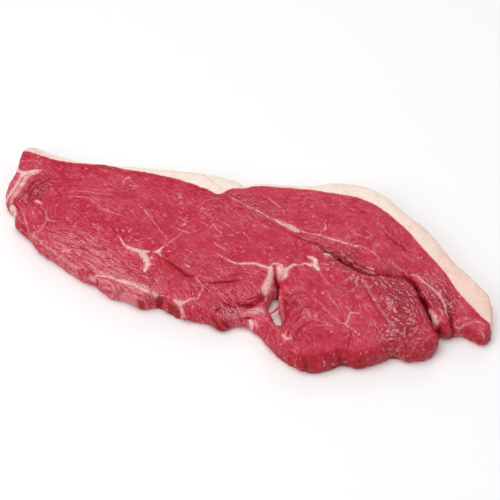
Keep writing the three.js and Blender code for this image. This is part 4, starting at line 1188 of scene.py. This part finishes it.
@dataclass(frozen=True)
class RawBeef:
    """Fresh raw beef: crimson lean, pale fat and a wet surface.

    Colours are linear. Scales of noise are features for each millimetre.
    """

    black: Colour = (0.150, 0.000, 0.002, 1)
    # The deepest red of the lean, also the painted shade in the folds.
    deep: Colour = (0.290, 0.001, 0.008, 1)
    dark: Colour = (0.420, 0.004, 0.022, 1)
    middle: Colour = (0.510, 0.023, 0.060, 1)
    light: Colour = (0.605, 0.082, 0.126, 1)
    pale: Colour = (0.690, 0.245, 0.280, 1)
    fleck: Colour = (0.780, 0.410, 0.430, 1)
    red: Colour = (0.470, 0.002, 0.014, 1)
    # The dark red of the lines between bundles, partly painted shade in their valleys.
    line_red: Colour = (0.440, 0.003, 0.024, 1)
    wine: Colour = (0.270, 0.003, 0.018, 1)
    # Painted highlight: the pale lilac of the wet glints.
    glint_lilac: Colour = (0.670, 0.290, 0.340, 1)
    tissue: Colour = (0.670, 0.215, 0.250, 1)
    pink_fat: Colour = (0.740, 0.400, 0.380, 1)
    cream: Colour = (0.840, 0.610, 0.530, 1)
    fringe: Colour = (0.740, 0.330, 0.330, 1)
    pink_line: Colour = (0.660, 0.240, 0.270, 1)
    white_line: Colour = (0.800, 0.540, 0.490, 1)
    # The tear's inner walls: the pale membrane there, partly painted light that lifts their shade.
    membrane_and_light: Colour = (0.900, 0.170, 0.220, 1)
    rind: Colour = (0.930, 0.820, 0.720, 1)
    rind_pink: Colour = (0.860, 0.520, 0.440, 1)
    bump_depth: float = 0.5  # of the finest relief
    blood_depth: float = 1.2  # that light goes into the lean

    def material(self) -> bpy.types.Material:
        """Builds the finish.

        Returns:
            The material of the whole steak.
        """
        material = bpy.data.materials.new("raw beef")
        material.use_nodes = True
        tree = MeatTree(material.node_tree)
        lean, painted_glint = self._wet(tree, self._lean(tree))
        lean = self._marbled(tree, self._veiled(tree, lean))
        colour, in_fat = self._trimmed(tree, lean)

        height = tree.noise(tree.at, 1.3, 3, 0.6) * (in_fat * 0.5 + 0.5)
        height += tree.fine["Thread"] * (tree.ridge * 1.6 + 0.8) + painted_glint * 0.6
        bump = tree.node("ShaderNodeBump")
        tree.feed(bump.inputs["Height"], height)
        bump.inputs["Strength"].default_value = 0.8
        bump.inputs["Distance"].default_value = self.bump_depth * MM
        shader = tree.node("ShaderNodeBsdfPrincipled")
        finish = {
            "Base Color": colour,
            "Roughness": tree.noise(tree.at, 0.35) * 0.25 + 0.30 + in_fat * 0.12,
            "Coat Weight": (tree.purple * 0.12 + 0.06) * (in_fat * -0.7 + 1.0),
            "Normal": Value(tree, bump.outputs[0]),
            "Specular IOR Level": 0.20,
            "Coat Roughness": 0.18,
            "Subsurface Weight": 0.10,
            "Subsurface Radius": (1.0, 0.25, 0.15),
            "Subsurface Scale": self.blood_depth * MM,
        }
        for name, value in finish.items():
            tree.feed(shader.inputs[name], value)
        output = tree.node("ShaderNodeOutputMaterial")
        tree.feed(output.inputs["Surface"], Value(tree, shader.outputs[0]))
        return material

    def _lean(self, tree: MeatTree) -> Value:
        """The colour of plain lean: its lighter and darker patches, partly painted sheen and painted shade,
        its threads, bundles and pale flecks, and painted shade in its creases.

        Args:
            tree: The material's tree.

        Returns:
            The colour.
        """
        rugged, wall = tree.rugged, tree.wall
        uneven = tree.use(mottle_group(), broad=12.0, small=3.2)
        speck = tree.uneven(tree.at, 1.25, 2, 0.6)
        ragged = tree.uneven(tree.at, 0.62, 4, 0.72)
        thread = (tree.fine["Thread"] - 0.5) * tree.noise(tree.at, 0.055, 1).remap(0.38, 0.62, 0.55, 1.35)
        # The tone patches carry painted sheen and painted shade as well as the lean's own tone.
        level = tree.tone * 0.36 + 0.5 + uneven["Broad"] * 0.50 + uneven["Small"] * 0.25
        level += speck * (rugged * 0.93 + 0.42)
        level += thread * (rugged * 0.80 + 0.66)
        level += (tree.coarse["Thread"] - 0.5) * 0.28
        level += ragged * (wall * 1.35 + 0.25)
        # Painted shade: the lean darkens with the depth of the carved creases; the sides are a little darker
        # too.
        level -= wall * 0.10 + tree.crease * 0.24
        ramp = tree.node("ShaderNodeValToRGB")
        stops = (
            (0.0, self.black), (0.12, self.deep), (0.3, self.dark), (0.5, self.middle), (0.72, self.light),
            (0.95, self.pale),
        )
        for index, (position, colour) in enumerate(stops):
            stop = ramp.color_ramp.elements[index] if index < 2 else ramp.color_ramp.elements.new(position)
            stop.position, stop.color = position, colour
        tree.feed(ramp.inputs[0], level)
        lean = tree.mix(wall * 0.30, Value(tree, ramp.outputs[0]), self.red)

        # Dark red lines between the bundles and along the grain, partly painted shade in the carved valleys.
        lines = tree.math("MAXIMUM", abs(tree.bundles).remap(0.13, 0.03), tree.coarse["Line"] * 0.9)
        lean = tree.mix(lines * (rugged * 0.86 + 0.14) * 0.92, lean, self.line_red)
        spots = tree.math("MAXIMUM", tree.short["Fleck"], tree.cross["Fleck"])
        clump = tree.noise(tree.at, 0.13).remap(0.42, 0.60)
        lean = tree.mix(spots * (clump * 0.74 + 0.12), lean, self.fleck)
        return tree.mix(tree.fine["Line"] * (rugged * 0.24 + 0.03), lean, self.fleck)

    def _wet(self, tree: MeatTree, lean: Value) -> tuple[Value, Value]:
        """Crinkles the purple lean: dark ripples along the grain, with painted glints, pale lilac highlights,
        between them.

        Args:
            tree: The material's tree.
            lean: The colour so far.

        Returns:
            The colour, and how much of a painted glint each place is.
        """
        bend, twist = tree.uneven(tree.at, 0.30, 2, 0.6), tree.uneven(tree.at, 0.9, 1)
        ripple = tree.math("FRACT", (bend * 5.5 + (twist * 1.3 + tree.grain)) / 2.3)
        ripple = abs(ripple - 0.5)
        lean = tree.mix(tree.purple * ripple.remap(0.14, 0.40, 0.25, 0.90), lean, self.wine)
        puddle = tree.noise(tree.at, 0.17).remap(0.36, 0.58, 0.35, 1.0)
        broken = tree.noise(tree.at, 0.40).remap(0.42, 0.54)
        # Painted highlights: pale lilac glints in clumps between the ripples of the purple lean.
        painted_glint = ripple.remap(0.24, 0.12) * broken * (tree.purple * 1.6).held() * puddle
        return tree.mix(painted_glint * 0.9, lean, self.glint_lilac), painted_glint

    def _veiled(self, tree: MeatTree, lean: Value) -> Value:
        """Lays membranes and the painted glints by the fissure over the lean, paints the walls inside the
        tear a pale pink-red that is partly painted light, and paints shade into the folds.

        Args:
            tree: The material's tree.
            lean: The colour so far.

        Returns:
            The colour.
        """
        cloud = tree.noise(tree.at, 0.30)
        along = tree.join(tree.veil_across * 1.3, (tree.x + tree.y) * 0.22, tree.y)
        cover = (tree.fatty - 0.5) * 1.7 + tree.veil + (cloud - 0.5) * 0.9
        cover += tree.uneven(along, 1, 2, 0.6) * 0.7
        cover *= tree.veil.remap(0.0, 0.20)
        cover *= tree.wall * -0.25 + 1.0
        layers = (
            (0.05, 0.36, 0.75, self.light), (0.28, 0.60, 0.85, self.tissue), (0.56, 0.88, 0.9, self.pink_fat),
            (0.86, 1.16, 1.0, self.cream),
        )
        for low, high, most, layer in layers:
            lean = tree.mix(cover.remap(low, high) * most, lean, layer)
        # The walls inside the tear in pale pink-red, partly the membrane and partly painted light against
        # their shade.
        lean = tree.mix(self._inside(tree) * cloud.remap(0.40, 0.60, 0.45, 0.85), lean, self.membrane_and_light)
        # Painted shade: a dark line along the bottom of every fold, darker for deeper folds.
        core = (tree.fatty - 0.5) * 0.7 + tree.core
        fold_shadow_line = (abs(core) / (tree.core_depth * 0.30 + 0.42)).remap(1.0, 0.35)
        lean = tree.mix(fold_shadow_line * tree.core_depth.remap(0.1, 1.0, 0.15, 0.85), lean, self.deep)
        # Painted shade: the carved folds darken with their depth.
        return tree.mix(tree.crease.remap(0.40, 2.2, 0.0, 0.85), lean, self.deep)

    def _inside(self, tree: MeatTree) -> Value:
        """How much each place is on the wall inside the tear."""
        return tree.in_tear.remap(0.25, 0.55) * tree.wall.remap(0.1, 0.5)

    def _marbled(self, tree: MeatTree, lean: Value) -> Value:
        """Draws the lines of fat, and a pink glow round them.

        Args:
            tree: The material's tree.
            lean: The colour so far.

        Returns:
            The colour.
        """
        marbling = tree.use(marbling_group())
        line = tree.mix(tree.pale * tree.fatty.remap(0.36, 0.56, 0.30, 1.0), self.pink_line, self.white_line)
        strength = (tree.pale * 0.72 + 0.18).held() * (self._inside(tree) * -0.75 + 1.0)
        lean = tree.mix(marbling["Glow"] * tree.pale * 0.55, lean, self.tissue)
        return tree.mix(marbling["Mask"] * strength, lean, line)

    def _trimmed(self, tree: MeatTree, lean: Value) -> tuple[Value, Value]:
        """Puts the rind along the lean: cream fat with pink streaks, and a pink fringe between them.

        Args:
            tree: The material's tree.
            lean: The colour so far.

        Returns:
            The colour, and how much of each place is rind.
        """
        to_ends = tree.x.remap(60, 150, 0.0, 1.1) + tree.x.remap(-100, -140, 0.0, 1.0)
        blotch = tree.noise(tree.at, 0.16, 3, 0.6).remap(0.45, 0.7)
        streak = tree.noise(tree.join(tree.rind * 1.1, tree.x, 0.0), 0.35, 3, 0.6).remap(0.45, 0.75)
        grain_of_fat = tree.noise(tree.at, 0.75, 3, 0.7).remap(0.40, 0.60)
        pinkness = to_ends * 0.45 + blotch * 0.3 + grain_of_fat * 0.24 + streak * 0.25
        fat = tree.mix(pinkness.held(), self.rind, self.rind_pink)
        fat = tree.mix((tree.crease * 0.8).held(), fat, self.pale)
        edge = tree.uneven(tree.at, 0.5, 3, 0.6) * 1.4 + tree.rind
        in_fat = (edge * 2.4 + 0.5).held()
        colour = tree.mix(in_fat, lean, fat)
        return tree.mix(abs(edge).remap(0.6, 0.1) * 0.55, colour, self.fringe), in_fat


# ---- The studio ------------------------------------------------------------------------------------


@dataclass(frozen=True)
class Lamp:
    """A square soft light: where it hangs, pointing at the steak, its size in metres and its power."""

    name: str
    at: tuple[float, float, float]
    size: float
    power: float


@dataclass
class Studio:
    """The pale floor, the soft lights and the camera."""

    aim: tuple[float, float, float] = (3.3, 9.73, 0)
    elevation: float = 50
    distance: float = 1400
    lens: float = 168
    sensor: float = 36
    floor: float = 6  # metres
    floor_gap: float = 0.3  # below the steak, so that the two faces don't flicker
    world: float = 0.48
    lamps: tuple[Lamp, ...] = (
        Lamp("overhead", (-0.15, 0.0, 1.3), 1.0, 8.5),
        Lamp("front left", (-0.9, -0.8, 0.9), 0.9, 6.4),
        Lamp("behind", (0.3, 1.2, 0.9), 0.6, 2),
    )

    def build(self) -> None:
        """Sets up the floor, the lights and the camera."""
        self._floor()
        self._world()
        for lamp in self.lamps:
            self._lamp(lamp)
        self._camera()

    def _floor(self) -> None:
        """A wide pale floor just under the steak."""
        deselect_all()
        bpy.ops.mesh.primitive_plane_add(size=self.floor, location=(0, 0, -self.floor_gap * MM))
        floor = bpy.context.object
        floor.name = "floor"
        material = bpy.data.materials.new("pale floor")
        material.use_nodes = True
        shader = material.node_tree.nodes["Principled BSDF"]
        shader.inputs["Base Color"].default_value = (0.92, 0.92, 0.92, 1)
        shader.inputs["Roughness"].default_value = 0.9
        floor.data.materials.append(material)

    def _world(self) -> None:
        """An even white surround."""
        world = bpy.data.worlds.new("surround")
        world.use_nodes = True
        world.node_tree.nodes["Background"].inputs["Strength"].default_value = self.world
        world.node_tree.nodes["Background"].inputs["Color"].default_value = (1, 1, 1, 1)
        bpy.context.scene.world = world

    def _lamp(self, lamp: Lamp) -> None:
        """Hangs one soft light, pointing at the steak."""
        deselect_all()
        bpy.ops.object.light_add(type="AREA", location=lamp.at)
        light = bpy.context.object
        light.name = lamp.name
        light.data.size = lamp.size
        light.data.energy = lamp.power
        light.rotation_euler = (-Vector(lamp.at)).to_track_quat("-Z", "Y").to_euler()

    def _camera(self) -> None:
        """Looks along +Y and down on the steak."""
        tilt = math.radians(self.elevation)
        aim = Vector(self.aim) * MM
        reach = Vector((0, -math.cos(tilt), math.sin(tilt))) * self.distance * MM
        deselect_all()
        bpy.ops.object.camera_add(location=aim + reach, rotation=(math.pi / 2 - tilt, 0, 0))
        camera = bpy.context.object
        camera.data.lens = self.lens
        camera.data.sensor_width = self.sensor
        camera.data.clip_end = 20
        bpy.context.scene.camera = camera


def main() -> None:
    """Builds the studio and the steak, and reports each piece."""
    logging.basicConfig(level=logging.INFO, format="%(message)s")
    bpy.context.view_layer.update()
    bpy.context.scene.view_settings.view_transform = "Standard"
    Studio().build()
    log.info("studio set up")
    piece = Steak().build()
    piece.data.materials.append(RawBeef().material())
    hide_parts(NODE)
    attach(piece, "root")
    log.info("steak: %d triangles", len(piece.data.polygons))


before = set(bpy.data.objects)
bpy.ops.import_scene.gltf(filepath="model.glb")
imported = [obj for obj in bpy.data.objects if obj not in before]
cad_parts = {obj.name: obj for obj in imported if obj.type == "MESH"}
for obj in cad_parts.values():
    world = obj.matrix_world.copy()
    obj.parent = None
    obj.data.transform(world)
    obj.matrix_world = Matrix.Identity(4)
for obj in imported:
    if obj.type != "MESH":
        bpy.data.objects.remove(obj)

if __name__ == "__main__":
    main()
